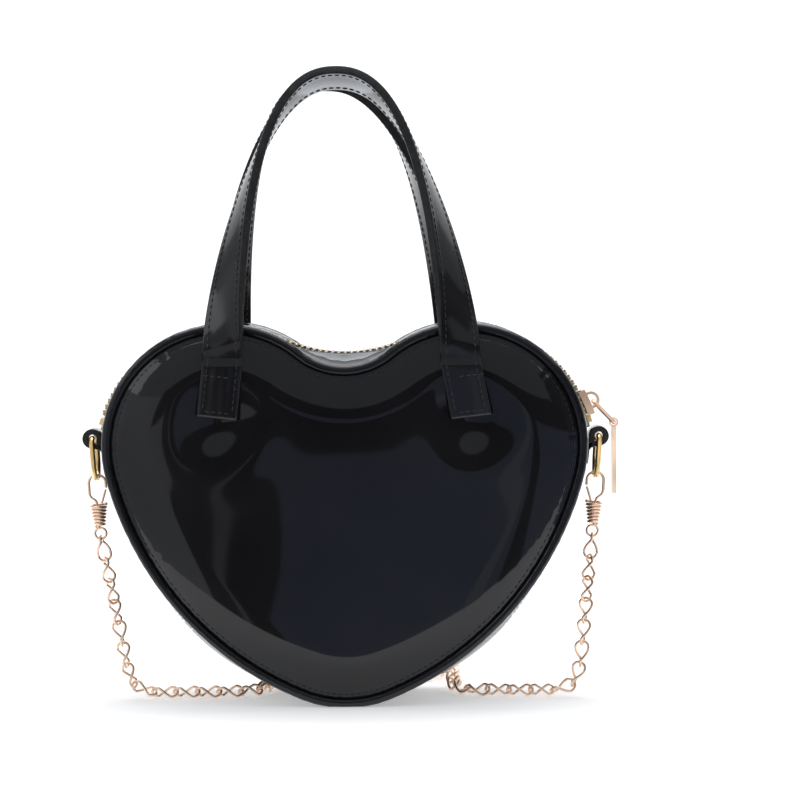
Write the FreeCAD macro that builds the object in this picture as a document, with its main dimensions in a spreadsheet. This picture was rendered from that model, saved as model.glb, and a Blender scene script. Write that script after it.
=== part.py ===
import FreeCAD, Part
import Sketcher
import os
from math import acos, asin, atan, atan2, cos, degrees, hypot, pi, radians, sin, sqrt, tan

# Heart shaped purse with two handles and a clip-on chain strap.
# Millimetres, X to the right, Y to the back, Z up, origin on the floor under the tip.

V = FreeCAD.Vector
doc = FreeCAD.newDocument("heart_purse")
sheet = doc.addObject("Spreadsheet::Sheet", "Sheet")

# Driving dimensions
SIZES = {
    "bag_width": 170, "bag_height": 140, "bag_depth": 55, "top_slack": 5.6,
    "lobe_radius": 43, "tip_radius": 42, "side_radius": 115, "notch_radius": 23.5,
    "tip_flat_drop": 0.6, "piping_radius": 1.7, "leather": 1.2, "padding": 2.0, "lining": 0.5,
    "dome_width": 13.6, "dome_rise": 5.1, "gusset_half": 20.7, "gusset_inset": 0.35,
    "tab_angle": 7.3, "tab_turn": 10.0, "zip_rise": 4.7, "zip_sink": 5.5, "zip_notch_radius": 84.0,
    "hem_half": 9.6, "zip_half": 5.0, "tape": 0.8, "tooth_pitch": 2.2,
    "tooth_thick": 0.8, "tooth_height": 3.2, "slider_length": 9.0, "slider_turn": 9.8,
    "slider_plate": 1.1, "pull_length": 23.5, "pull_width": 7.0, "pull_thick": 1.4,
    "connector_length": 10.4, "pull_gap": 1.4, "connector_wire": 1.5, "connector_width": 5.6,
    "handle_rise": 100.6, "handle_spread": 44.2, "handle_lean": 20.0, "handle_sway": 2.5,
    "hinge_drop": 13.9, "strap_width": 14.0, "strap_thick": 3.0, "tab_length": 17.0,
    "ring_wire": 1.9, "ring_width": 18.0, "ring_drop": 15.0, "loop_radius": 3.5,
    "loop_bore": 1.6, "loop_reach": 5.0, "hang_lean": 3.5, "side_tab_width": 12.0, "side_tab_length": 13.0,
    "hook_wire": 1.0, "hook_radius": 3.0, "winding_wire": 0.8, "winding_turns": 6,
    "winding_pitch": 1.27, "winding_top": 2.7, "eye_radius": 2.0, "eye_wire": 0.9,
    "link_pitch": 7.8, "link_width": 5.4, "link_wire": 1.05, "link_play": 0.3,
    "strap_length": 1200, "turn_gap": 0.6, "clearance": 0.3,
    "strip_thick": 0.9, "tooth_proud": 0.5, "lining_half": 17.5, "tape_half": 9.0,
    "hinge_spread": 42.0, "strap_twist": 100.5, "left_foot": 77.0, "right_foot": 82.0, "drop_bend": 16.0,
    "lane_bend": 14.0, "lane_spread": 29.4, "coil_radius": 25.8, "coil_back": 78.2,
}
for row, (alias, value) in enumerate(SIZES.items(), start=1):
    sheet.set("A%d" % row, alias)
    sheet.set("B%d" % row, str(value))
    sheet.setAlias("B%d" % row, alias)
doc.recompute()


def size(alias):
    """Return one driving dimension."""
    return float(sheet.get(alias))


def feature(label, shape):
    """Add one finished shape to the document under its own label."""
    obj = doc.addObject("Part::Feature", label)
    obj.Label = label
    obj.Shape = shape
    return obj


def mirror_y(shape):
    return shape.mirror(V(0, 0, 0), V(0, 1, 0))


def mirror_x(shape):
    return shape.mirror(V(0, 0, 0), V(1, 0, 0))


# Heart outline of six tangent arcs: tip, two sides, two lobes and the notch
flat = size("tip_flat_drop")
lobe_r, tip_r = size("lobe_radius"), size("tip_radius")
side_r, notch_r = size("side_radius"), size("notch_radius")
seam_top = size("bag_height") - size("top_slack")
lobe_x = size("bag_width") / 2 - lobe_r
lobe_z = seam_top - lobe_r
tip_z = tip_r - flat
span = hypot(lobe_x, lobe_z - tip_z)
along = ((side_r - tip_r) ** 2 - (side_r - lobe_r) ** 2 + span ** 2) / (2 * span)
across = sqrt((side_r - tip_r) ** 2 - along ** 2)
ux, uz = lobe_x / span, (lobe_z - tip_z) / span
side_x = ux * along - uz * across
side_z = tip_z + uz * along + ux * across
notch_z = lobe_z + sqrt((notch_r + lobe_r) ** 2 - lobe_x ** 2)
tip_angle = degrees(atan2(tip_z - side_z, -side_x))
side_angle = degrees(atan2(lobe_z - side_z, lobe_x - side_x))
notch_angle = degrees(atan2(notch_z - lobe_z, -lobe_x))
split = max(size("tab_angle"), side_angle + size("tab_turn"))

# Each arc: centre x, centre z, radius, +1 convex or -1 hollow, first and last angle
TOP = [
    (lobe_x, lobe_z, lobe_r, 1, split, notch_angle),
    (0, notch_z, notch_r, -1, notch_angle - 180, -notch_angle),
    (-lobe_x, lobe_z, lobe_r, 1, 180 - notch_angle, 180 - split),
]
LOW = [
    (-lobe_x, lobe_z, lobe_r, 1, 180 - split, 180 - side_angle),
    (-side_x, side_z, side_r, 1, 180 - side_angle, 180 - tip_angle),
    (0, tip_z, tip_r, 1, 180 - tip_angle, 360 + tip_angle),
    (side_x, side_z, side_r, 1, tip_angle, side_angle),
    (lobe_x, lobe_z, lobe_r, 1, side_angle, split),
]

# The zip's line: lobes that lie lower than the seam and a shallower notch between them
zip_z = lobe_z - size("zip_sink")
zip_notch_r = size("zip_notch_radius")
zip_notch_z = zip_z + sqrt((zip_notch_r + lobe_r) ** 2 - lobe_x ** 2)
zip_notch_angle = degrees(atan2(zip_notch_z - zip_z, -lobe_x))
strip_d = size("zip_rise") - size("tooth_proud")
strip_under = strip_d - size("strip_thick")
zip_end = size("zip_sink") + lobe_r * sin(radians(split)) + size("clearance")
zip_split = degrees(asin(zip_end / (lobe_r + strip_under)))
ZIP = [
    (lobe_x, zip_z, lobe_r, 1, zip_split, zip_notch_angle),
    (0, zip_notch_z, zip_notch_r, -1, zip_notch_angle - 180, -zip_notch_angle),
    (-lobe_x, zip_z, lobe_r, 1, 180 - zip_notch_angle, 180 - zip_split),
]


def arc_point(arc, d, y, angle):
    """Point at outward offset d and depth y, at an angle on one heart arc."""
    cx, cz, r, sign = arc[:4]
    reach = r + sign * d
    return V(cx + reach * cos(radians(angle)), y, cz + reach * sin(radians(angle)))


def heart_prism(d, y0, y1):
    """Solid heart at outward offset d between two depths."""
    edges = []
    for arc in TOP + LOW:
        a0, a1 = arc[4:]
        ends = [arc_point(arc, d, y0, a) for a in (a0, (a0 + a1) / 2, a1)]
        edges.append(Part.Arc(*ends).toShape())
    wire = Part.Wire(edges)
    return Part.Face(wire).extrude(V(0, y1 - y0, 0))


def join(solids):
    """Fuse touching solids to one."""
    if len(solids) == 1:
        return solids[0]
    return solids[0].multiFuse(solids[1:])


def sweep(profile, arcs):
    """Carry a profile of (offset, depth) points along heart arcs.

    An item of four numbers is an arc: a point on the way and its end."""
    solids = []
    for arc in arcs:
        def at(d, y):
            return arc_point(arc, d, y, arc[4])
        edges = []
        last = at(*profile[0])
        for item in profile[1:] + profile[:1]:
            end = at(*item[-2:])
            if len(item) == 4:
                edges.append(Part.Arc(last, at(*item[:2]), end).toShape())
            else:
                edges.append(Part.makeLine(last, end))
            last = end
        face = Part.Face(Part.Wire(edges))
        axis = V(0, -1, 0) if arc[5] > arc[4] else V(0, 1, 0)
        solids.append(face.revolve(V(arc[0], 0, arc[1]), axis, abs(arc[5] - arc[4])))
    return join(solids)


# Cross-section of the padded panels: concentric arcs that run into a flat middle
pipe_r = size("piping_radius")
edge_d = -2 * pipe_r
edge_y = -(size("bag_depth") / 2 - size("dome_rise"))
cap_d = edge_d - size("dome_width")
cap_y = -size("bag_depth") / 2
dome_r = (size("dome_width") ** 2 + size("dome_rise") ** 2) / (2 * size("dome_rise"))
dome_y = cap_y + dome_r
full_turn = asin(size("dome_width") / dome_r)


def dome_point(depth, turn):
    """Point of the panel section at a depth under its outer face."""
    reach = dome_r - depth
    return (cap_d + reach * sin(turn), dome_y - reach * cos(turn))


def dome_layer(depth, thick, share):
    """One layer of the panel; share is how far it runs towards the seam."""
    turn = full_turn * share
    outer = [dome_point(depth, turn * t) for t in (0, 0.5, 1)]
    inner = [dome_point(depth + thick, turn * t) for t in (1, 0.5, 0)]
    ring = sweep([outer[0], outer[1] + outer[2], inner[0], inner[1] + inner[2]], TOP + LOW)
    cap = heart_prism(cap_d, cap_y + depth, cap_y + depth + thick)
    return ring.fuse(cap).removeSplitter()


leather, padding, lining = size("leather"), size("padding"), size("lining")
clear = size("clearance")
floor_cut = Part.makeBox(60, 80, 20, V(-30, -40, -20))


def both(front_label, back_label, shape):
    feature(front_label, shape)
    feature(back_label, mirror_y(shape))


both("front_panel", "back_panel", dome_layer(0, leather, 1))
both("front_padding", "back_padding", dome_layer(leather, padding, 0.93))
both("lining_front", "lining_back", dome_layer(leather + padding, lining, 0.86))

# Piping along both seams, pressed flat where the purse stands on its tip
def round_sweep(d, y, r, arcs):
    """Round cord along heart arcs."""
    solids = []
    for arc in arcs:
        centre = arc_point(arc, d, y, arc[4])
        tangent = V(-sin(radians(arc[4])), 0, cos(radians(arc[4])))
        face = Part.Face(Part.Wire(Part.makeCircle(r, centre, tangent)))
        axis = V(0, -1, 0) if arc[5] > arc[4] else V(0, 1, 0)
        solids.append(face.revolve(V(arc[0], 0, arc[1]), axis, abs(arc[5] - arc[4])))
    return join(solids)


piping = round_sweep(-pipe_r, edge_y, pipe_r, TOP + LOW)
both("front_piping", "rear_piping", piping.cut(floor_cut))

# Gusset: a plain band below the side tabs, two strips that rise to the zip above them
gus_y, gus_d = size("gusset_half"), -size("gusset_inset")
lower_gusset = sweep([
    (gus_d, -gus_y), (gus_d, gus_y), (gus_d - leather, gus_y), (gus_d - leather, -gus_y),
], LOW)
feature("lower_gusset", lower_gusset.cut(floor_cut))
zip_d, zip_y = size("zip_rise"), size("zip_half")
strip_low = gus_d - size("strip_thick")


def between(n, share, seam_d, line_d, y):
    """Arc at a share of the way from the seam to the zip's line, on one of the three top arcs."""
    points = []
    for t in (0, 0.5, 1):
        ends = []
        for arc, d in ((TOP[n], seam_d), (ZIP[n], line_d)):
            ends.append(arc_point(arc, d, y, arc[4] + (arc[5] - arc[4]) * t))
        points.append(ends[0] * (1 - share) + ends[1] * share)
    return Part.Arc(*points).toShape()


def ruled_band(rails):
    """Solid between long edges; rails are (share, offset at the seam, offset at the zip, depth)."""
    faces = []
    count = len(rails)
    for n in range(len(TOP)):
        edges = [between(n, *rail) for rail in rails]
        faces += [Part.makeRuledSurface(edges[k], edges[(k + 1) % count]) for k in range(count)]
    for n, t in ((0, 0), (len(TOP) - 1, 1)):
        corners = []
        for edge in (between(n, *rail) for rail in rails):
            corners.append(edge.valueAt(edge.LastParameter if t else edge.FirstParameter))
        for k in range(count // 2 - 1):
            a, b, c, d = corners[k], corners[k + 1], corners[count - 2 - k], corners[count - 1 - k]
            faces.append(Part.makeRuledSurface(Part.makeLine(a, b), Part.makeLine(d, c)))
    shell = Part.makeShell(faces)
    shell.sewShape()
    solid = Part.makeSolid(Part.makeShell(shell.Faces))
    if solid.Volume < 0:
        solid.reverse()
    return solid


hem_y = size("hem_half")
both("top_gusset_front", "top_gusset_rear", ruled_band([
    (0, gus_d, strip_d, -gus_y), (1, gus_d, strip_d, -hem_y), (1, gus_d, strip_d, -zip_y),
    (1, strip_low, strip_under, -zip_y), (1, strip_low, strip_under, -hem_y),
    (0, strip_low, strip_under, -gus_y),
]))

# Gusset lining, open along the zip
lin_d = gus_d - leather
lin_y = size("lining_half")
low_lining = sweep([
    (lin_d, -lin_y), (lin_d, lin_y), (lin_d - lining, lin_y), (lin_d - lining, -lin_y),
], LOW)
feature("lining_gusset", low_lining)
lin_edge = hem_y + clear
lin_share = [(gus_y - y) / (gus_y - hem_y) for y in (lin_y, lin_edge)]
lin_drop = clear + lining
both("lining_top_front", "lining_top_rear", ruled_band([
    (lin_share[0], strip_low - clear, strip_under - clear, -lin_y),
    (lin_share[1], strip_low - clear, strip_under - clear, -lin_edge),
    (lin_share[1], strip_low - lin_drop, strip_under - lin_drop, -lin_edge),
    (lin_share[0], strip_low - lin_drop, strip_under - lin_drop, -lin_y),
]).cut(lower_gusset))

# Zip tapes: sewn under the level hems of the strips
tape = size("tape")
tape_back, tape_edge = -size("tape_half"), -1.2
both("zip_tape_front", "zip_tape_rear", sweep([
    (strip_under, tape_back), (strip_under, tape_edge), (strip_under - tape, tape_edge),
    (strip_under - tape, tape_back),
], ZIP))

# Zip teeth: clamped on the tape edges, the two rows half a pitch apart
tooth_t, tooth_h, pitch = size("tooth_thick"), size("tooth_height"), size("tooth_pitch")
tape_mid = strip_under - tape / 2
tooth_top = zip_d
tooth_foot = zip_d - tooth_h
head_y, clamp_y, ease, taper = 0.9, -2.9, 0.015, 0.5
tooth_lines = [
    (tooth_top, clamp_y), (tooth_top, tape_edge), (tooth_top - taper, head_y),
    (tooth_foot + taper, head_y), (tooth_foot, tape_edge), (tooth_foot, clamp_y),
    (strip_under - tape - ease, clamp_y), (strip_under - tape - ease, tape_edge + ease),
    (strip_under + ease, tape_edge + ease), (strip_under + ease, clamp_y),
]
ring_points = [V(0, y, d - tape_mid) for d, y in tooth_lines]
tooth_face = Part.Face(Part.makePolygon(ring_points + ring_points[:1]))
tooth = tooth_face.extrude(V(tooth_t, 0, 0))
tooth.translate(V(-tooth_t / 2, 0, 0))
mirror_tooth = mirror_y(tooth)


def arc_run(arc, d):
    """Length of one arc at an offset."""
    return (arc[2] + arc[3] * d) * radians(abs(arc[5] - arc[4]))


def on_top(run, d):
    """Arc and angle at a length along the zip."""
    for arc in ZIP:
        length = arc_run(arc, d)
        if run <= length:
            return arc, arc[4] + (arc[5] - arc[4]) * run / length
        run -= length


top_run = sum(arc_run(arc, tape_mid) for arc in ZIP)
end_space = 4.0
rows = [[], []]
count = int((top_run - 2 * end_space) / (pitch / 2))
for n in range(count):
    arc, angle = on_top(end_space + (n + 0.5) * pitch / 2, tape_mid)
    outward = angle if arc[3] > 0 else angle + 180
    placed = (tooth if n % 2 else mirror_tooth).copy()
    turn = FreeCAD.Rotation(V(0, -1, 0), outward - 90)
    placed.Placement = FreeCAD.Placement(arc_point(arc, tape_mid, 0, angle), turn)
    rows[n % 2].append(placed)
feature("zip_teeth_front", Part.Compound(rows[1]))
feature("zip_teeth_rear", Part.Compound(rows[0]))

# Stops at both ends of the teeth
stop_long, stop_wide, stop_high, stop_y = 2.4, 1.6, 1.2, 2.3
stop_run = end_space - stop_long / 2 - 0.6
stops = []
for run in (stop_run, top_run - stop_run):
    arc, angle = on_top(run, tape_mid)
    for side in (-1, 1):
        stop = Part.makeBox(stop_long, stop_wide, stop_high, V(-stop_long / 2, -stop_wide / 2, 0))
        turn = FreeCAD.Rotation(V(0, -1, 0), angle - 90)
        stop.Placement = FreeCAD.Placement(
            arc_point(arc, strip_under, side * stop_y, angle), turn)
        stops.append(stop)
feature("zip_stops", Part.Compound(stops))

# Slider: plates above and below the teeth, curved to the lobe on which they run
slide_at = zip_split + size("slider_turn")
plate = size("slider_plate")
slide_half = degrees(size("slider_length") / 2 / (lobe_r + zip_d))
slide_arc = [(lobe_x, zip_z, lobe_r, 1, slide_at - slide_half, slide_at + slide_half)]
slide_gap = 0.4
plate_d = zip_d + slide_gap
flange_d = strip_under + slide_gap
flange_y, rail_y = 4.4, 3.4
feature("zip_slider", sweep([
    (plate_d + plate, -flange_y), (plate_d + plate, flange_y), (flange_d, flange_y),
    (flange_d, rail_y), (plate_d, rail_y), (plate_d, -rail_y),
    (flange_d, -rail_y), (flange_d, -flange_y),
], slide_arc))
base_d = tooth_foot - slide_gap
feature("zip_slider_base", sweep([
    (base_d, -flange_y), (base_d, flange_y), (base_d - plate, flange_y),
    (base_d - plate, -flange_y),
], slide_arc))

# Bridge on the slider, an arch with its eye along Y
slide_dir = V(cos(radians(slide_at)), 0, sin(radians(slide_at)))
slide_tan = V(-sin(radians(slide_at)), 0, cos(radians(slide_at)))
lobe_centre = V(lobe_x, 0, zip_z)
plate_top = lobe_r + plate_d + plate
bridge_half, bridge_rise, bridge_wall, bridge_y = 3.1, 3.6, 1.0, 1.1
bridge_root = -0.6


def bridge_loop(half, rise):
    """Arch outline on the slider, of given half length and rise."""
    def at(along, up):
        return lobe_centre + slide_dir * (plate_top + up) + slide_tan * along - V(0, bridge_y, 0)
    side = rise - half
    edges = [
        Part.makeLine(at(half, bridge_root), at(half, side)),
        Part.Arc(at(half, side), at(0, rise), at(-half, side)).toShape(),
        Part.makeLine(at(-half, side), at(-half, bridge_root)),
        Part.makeLine(at(-half, bridge_root), at(half, bridge_root)),
    ]
    return Part.Face(Part.Wire(edges)).extrude(V(0, 2 * bridge_y, 0))


bridge = bridge_loop(bridge_half, bridge_rise).cut(
    bridge_loop(bridge_half - bridge_wall, bridge_rise - bridge_wall))
slider_drum = Part.makeCylinder(plate_top, 20, V(lobe_x, -10, zip_z), V(0, 1, 0))
feature("zip_bridge", bridge.cut(slider_drum))


def wire_tube(points, radius):
    """Round wire along lines and arcs: points are lists of 2 (line) or 3 (arc) vectors."""
    edges = []
    for item in points:
        if len(item) == 2:
            edges.append(Part.makeLine(*item))
        else:
            edges.append(Part.Arc(*item).toShape())
    path = Part.Wire(edges)
    first = edges[0]
    start = first.valueAt(first.FirstParameter)
    tangent = first.tangentAt(first.FirstParameter)
    circle = Part.Wire(Part.makeCircle(radius, start, tangent))
    return path.makePipeShell([circle], True, False)


# Place of a ring's bar, in the loop of the side tab
loop_r, loop_d, loop_back = size("loop_radius"), size("loop_reach"), 0.4
loop_angle = split - degrees((loop_r + loop_back) / (lobe_r + loop_r))
ring_at = arc_point(TOP[0], loop_d, 0, loop_angle)

# Connector between the bridge and the pull tab
con_r = size("connector_wire") / 2
con_y = size("connector_width") / 2 - con_r
reach = size("connector_length")
eye_up, eye_back = 1.15, 0.75  # where it hangs in the bridge, at the lower end of the opening
bridge_eye = lobe_centre + slide_dir * (plate_top + eye_up) - slide_tan * eye_back
pull_x = ring_at.x + loop_r + size("pull_thick") / 2 + size("pull_gap")
fall = acos((pull_x - bridge_eye.x) / reach)  # slope at which the pull hangs clear of the side tab
con_dir = V(cos(fall), 0, -sin(fall))
pull_eye = bridge_eye + con_dir * reach
corner = 1.2


def con_at(along, y):
    return bridge_eye + con_dir * along + V(0, y, 0)


def con_corner(along, y, sx, sy):
    """Corner arc of the connector, from its long side to its short side."""
    c = con_at(along - sx * corner, y - sy * corner)
    k = corner * sqrt(0.5)
    return [con_at(along - sx * corner, y), c + con_dir * (sx * k) + V(0, sy * k, 0),
            con_at(along, y - sy * corner)]


feature("zip_connector", wire_tube([
    [con_at(corner, con_y), con_at(reach - corner, con_y)],
    con_corner(reach, con_y, 1, 1),
    [con_at(reach, con_y - corner), con_at(reach, corner - con_y)],
    con_corner(reach, -con_y, 1, -1)[::-1],
    [con_at(reach - corner, -con_y), con_at(corner, -con_y)],
    con_corner(0, -con_y, -1, -1),
    [con_at(0, corner - con_y), con_at(0, con_y - corner)],
    con_corner(0, con_y, -1, 1)[::-1],
], con_r))

# Pull tab: a plate that hangs from a rolled eye along Y
eye_out, eye_in = 1.7, con_r + clear
eye_half = con_y - con_r - clear


def plane_of(body, role):
    """Origin plane of a body by its role."""
    return [f for f in body.Origin.OriginFeatures if f.Role == role][0]


def sketch_on(body, role, name):
    """Empty sketch on one origin plane of a body."""
    sketch = body.newObject("Sketcher::SketchObject", name)
    sketch.AttachmentSupport = [(plane_of(body, role), "")]
    sketch.MapMode = "FlatFace"
    return sketch


def bind(sketch, constraint, name, expression):
    """Add a named dimension to a sketch and tie it to the sheet."""
    index = sketch.addConstraint(constraint)
    sketch.renameConstraint(index, name)
    sketch.setExpression("Constraints." + name, expression)


def add_circle(sketch, name, radius, expression):
    circle = sketch.addGeometry(Part.Circle(V(0, 0, 0), V(0, 0, 1), radius))
    sketch.addConstraint(Sketcher.Constraint("Coincident", circle, 3, -1, 1))
    bind(sketch, Sketcher.Constraint("Radius", circle, radius), name, expression)


def add_plate(sketch, width, top, bottom):
    """Rectangle about the vertical axis: (value, expression) for each size."""
    w, t, b = width[0] / 2, top[0], bottom[0]
    corners = [V(-w, b, 0), V(w, b, 0), V(w, t, 0), V(-w, t, 0)]
    for n in range(4):
        sketch.addGeometry(Part.LineSegment(corners[n], corners[(n + 1) % 4]))
    first = sketch.GeometryCount - 4
    for n in range(4):
        sketch.addConstraint(
            Sketcher.Constraint("Coincident", first + n, 2, first + (n + 1) % 4, 1))
    sketch.addConstraint(Sketcher.Constraint("Horizontal", first + 2))
    for n in (1, 3):
        sketch.addConstraint(Sketcher.Constraint("Vertical", first + n))
    sketch.addConstraint(Sketcher.Constraint("Symmetric", first, 1, first, 2, -2))
    bind(sketch, Sketcher.Constraint("DistanceX", first, 1, first, 2, 2 * w), "width", width[1])
    bind(sketch, Sketcher.Constraint("DistanceY", first + 2, 1, -1, 1, -t), "top", top[1])
    bind(sketch, Sketcher.Constraint("DistanceY", first, 1, -1, 1, -b), "bottom", bottom[1])


def pad(body, sketch, name, expression):
    """Pad a sketch to both sides of its plane."""
    feature_pad = body.newObject("PartDesign::Pad", name)
    feature_pad.Profile = sketch
    feature_pad.Midplane = True
    feature_pad.setExpression("Length", expression)
    return feature_pad


pull = doc.addObject("PartDesign::Body", "zip_pull_tab")
pull.Label = "zip_pull_tab"
pull_eye_sketch = sketch_on(pull, "XZ_Plane", "pull_eye_sketch")
add_circle(pull_eye_sketch, "outer", eye_out, "%g" % eye_out)
add_circle(pull_eye_sketch, "inner", eye_in, "Sheet.connector_wire / 2 + Sheet.clearance")
pad(pull, pull_eye_sketch, "pull_eye", "%g" % (2 * eye_half))
pull_sketch = sketch_on(pull, "YZ_Plane", "pull_plate_sketch")
pull_top = eye_out - 0.3
pull_low = size("pull_length") + eye_out
add_plate(pull_sketch, (size("pull_width"), "Sheet.pull_width"), (-pull_top, "%g" % pull_top),
          (-pull_low, "Sheet.pull_length + %g" % eye_out))
pad(pull, pull_sketch, "pull_plate", "Sheet.pull_thick")
pull.Placement = FreeCAD.Placement(pull_eye, FreeCAD.Rotation())

# Side tabs: a tongue on the gusset and a loop that holds the ring's bar along Y
tab_half = size("side_tab_width") / 2
tongue_turn = degrees(size("side_tab_length") / lobe_r)
tongue_thick, neck = 1.0, 2.6
tongue_top = gus_d + tongue_thick
tongue = sweep([
    (gus_d, -tab_half), (tongue_top, -tab_half), (tongue_top, tab_half), (gus_d, tab_half),
], [(lobe_x, lobe_z, lobe_r, 1, split - tongue_turn, split)])
neck_turn = degrees(neck / 2 / (lobe_r + loop_d))
neck_band = sweep([
    (gus_d, -tab_half), (loop_d, -tab_half), (loop_d, tab_half), (gus_d, tab_half),
], [(lobe_x, lobe_z, lobe_r, 1, loop_angle - neck_turn, loop_angle + neck_turn)])
loop_start = V(ring_at.x, -tab_half, ring_at.z)
loop = Part.makeCylinder(loop_r, 2 * tab_half, loop_start, V(0, 1, 0))
bore = Part.makeCylinder(size("loop_bore"), 2 * tab_half, loop_start, V(0, 1, 0))
side_tab = tongue.multiFuse([neck_band, loop]).cut(bore)
feature("side_tab_right", side_tab)
feature("side_tab_left", mirror_x(side_tab))

# Ring: straight bar, two legs and a round end
ring_r = size("ring_wire") / 2
leg_y = size("ring_width") / 2 - ring_r
ring_low = ring_at.z - size("ring_drop")
bend = 2.2


def hang(shape):
    """Lean a hanging piece of the right side in towards the bag, about the ring's bar."""
    leant = shape.copy()
    leant.rotate(ring_at, V(0, 1, 0), size("hang_lean"))
    return leant


def hang_point(point):
    return ring_at + FreeCAD.Rotation(V(0, 1, 0), size("hang_lean")).multVec(point - ring_at)


def hung(name, shape):
    """Both copies of a piece that hangs from the side tabs."""
    feature(name + "_right", hang(shape))
    feature(name + "_left", mirror_x(hang(shape)))


def ring_point(y, z):
    return V(ring_at.x, y, z)


def ring_bend(sy):
    """Corner between the bar and one leg."""
    k = bend * (1 - sqrt(0.5))
    return [ring_point(sy * (leg_y - bend), ring_at.z), ring_point(sy * (leg_y - k), ring_at.z - k),
            ring_point(sy * leg_y, ring_at.z - bend)]


round_z = ring_low + leg_y
ring = wire_tube([
    [ring_point(bend - leg_y, ring_at.z), ring_point(leg_y - bend, ring_at.z)],
    ring_bend(1),
    [ring_point(leg_y, ring_at.z - bend), ring_point(leg_y, round_z)],
    [ring_point(leg_y, round_z), ring_point(0, ring_low), ring_point(-leg_y, round_z)],
    [ring_point(-leg_y, round_z), ring_point(-leg_y, ring_at.z - bend)],
    ring_bend(-1)[::-1],
], ring_r)
hung("d_ring", ring)

# Clasp: one wire makes the hook, the stem in the winding and the eye for the chain
hook_r, arch = size("hook_wire") / 2, size("hook_radius")
hook_leg = 7.3
arch_z = ring_low + ring_r + clear + hook_r - arch
wind_r = size("winding_wire") / 2
wind_top_z = arch_z - hook_leg
wind_rise = size("winding_turns") * size("winding_pitch")
wind_low_z = wind_top_z - wind_r - wind_rise
eye_r, eye_wire_r = size("eye_radius"), size("eye_wire") / 2
eye_z = wind_low_z - wind_r - eye_r - clear
stem_x = 0.55


def clasp_point(x, z):
    return V(ring_at.x + x, 0, z)


def s_bend(x0, z0, x1, z1):
    """Two arcs that carry an upright wire sideways."""
    turn = 2 * atan((x1 - x0) / (z1 - z0))
    r = (z1 - z0) / 2 / sin(turn)
    dx, dz = r * (1 - cos(turn / 2)), r * sin(turn / 2)
    mid = clasp_point((x0 + x1) / 2, (z0 + z1) / 2)
    return [[clasp_point(x0, z0), clasp_point(x0 + dx, z0 + dz), mid],
            [mid, clasp_point(x1 - dx, z1 - dz), clasp_point(x1, z1)]]


bend_z = wind_top_z - wind_r
bend_rise, tip_drop = 4.2, 1.75
hook = wire_tube(
    [[clasp_point(stem_x, eye_z + eye_r), clasp_point(stem_x, bend_z)]]
    + s_bend(stem_x, bend_z, arch, bend_z + bend_rise)
    + [[clasp_point(arch, bend_z + bend_rise), clasp_point(arch, arch_z)],
       [clasp_point(arch, arch_z), clasp_point(0, arch_z + arch), clasp_point(-arch, arch_z)],
       [clasp_point(-arch, arch_z), clasp_point(-arch, arch_z - tip_drop)]], hook_r)
eye = Part.makeTorus(eye_r, eye_wire_r, clasp_point(0, eye_z), V(0, 1, 0))
hook = hook.fuse(eye)
hung("clasp_hook", hook)

# Winding: a tapering spring wire round the stem
wind_low_r = stem_x + hook_r + wind_r + 0.02
taper = degrees(atan((size("winding_top") - wind_low_r) / wind_rise))
helix = Part.makeHelix(size("winding_pitch"), wind_rise, wind_low_r, taper)
start_dir = V(0, 2 * pi * wind_low_r, size("winding_pitch"))
helix_circle = Part.Wire(Part.makeCircle(wind_r, V(wind_low_r, 0, 0), start_dir))
winding = Part.Wire(helix.Edges).makePipeShell([helix_circle], True, True)
winding.translate(clasp_point(0, wind_low_z))
hung("clasp_winding", winding)


def least_gap(points, near, wire):
    """Least clear gap of a wire to itself, beyond a run of points that are close by."""
    gap = 1e9
    for n, a in enumerate(points):
        for b in points[n + near:]:
            gap = min(gap, (a - b).Length - wire)
    return gap


wind_points = Part.Wire(helix.Edges).discretize(Number=48 * int(size("winding_turns")))
print("winding gap %.2f mm" % least_gap(wind_points, 30, 2 * wind_r))

# Gate: a sprung wire that closes the hook
gate_r = 0.4
gate_x, gate_z = -1.3, wind_top_z + 0.5
gate_tip = clasp_point(-arch + 0.1, arch_z - tip_drop - gate_r - 0.15)
gate_foot = clasp_point(gate_x, gate_z)
gate_dir = gate_tip - gate_foot
gate = Part.makeCylinder(gate_r, gate_dir.Length, gate_foot, gate_dir)
gate = gate.fuse(Part.makeSphere(gate_r, gate_foot))
hung("clasp_gate", gate)

# Chain link: two round ends a quarter turn apart, joined by double bends
link_p, link_w, link_d = size("link_pitch"), size("link_width"), size("link_wire")
end_r = (link_w - link_d) / 2
link_h = link_p / 2 + (link_d + size("link_play")) / 2 - end_r
half_side = end_r * sqrt(0.5)
link_turn = 2 * atan(half_side / link_h)
link_bend = link_h / sin(link_turn)


def side_run(sy, sx):
    """Double bend along one side of a link, from end -sx to end sx."""
    dx = link_h - link_bend * sin(link_turn / 2)
    dz = half_side - link_bend * (1 - cos(link_turn / 2))
    y, middle = sy * half_side, V(0, sy * half_side, 0)
    rise = sx * sy
    first = V(-sx * link_h, y, -rise * half_side)
    last = V(sx * link_h, y, rise * half_side)
    return [[first, V(-sx * dx, y, -rise * dz), middle], [middle, V(sx * dx, y, rise * dz), last]]


front_run = side_run(1, 1)
back_run = side_run(-1, -1)
far_end = [front_run[1][2], V(link_h + end_r, 0, 0), back_run[0][0]]
near_end = [back_run[1][2], V(-link_h - end_r, 0, 0), front_run[0][0]]
link = wire_tube(front_run + [far_end], link_d / 2)
link = link.fuse(wire_tube(back_run + [near_end], link_d / 2))

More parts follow.
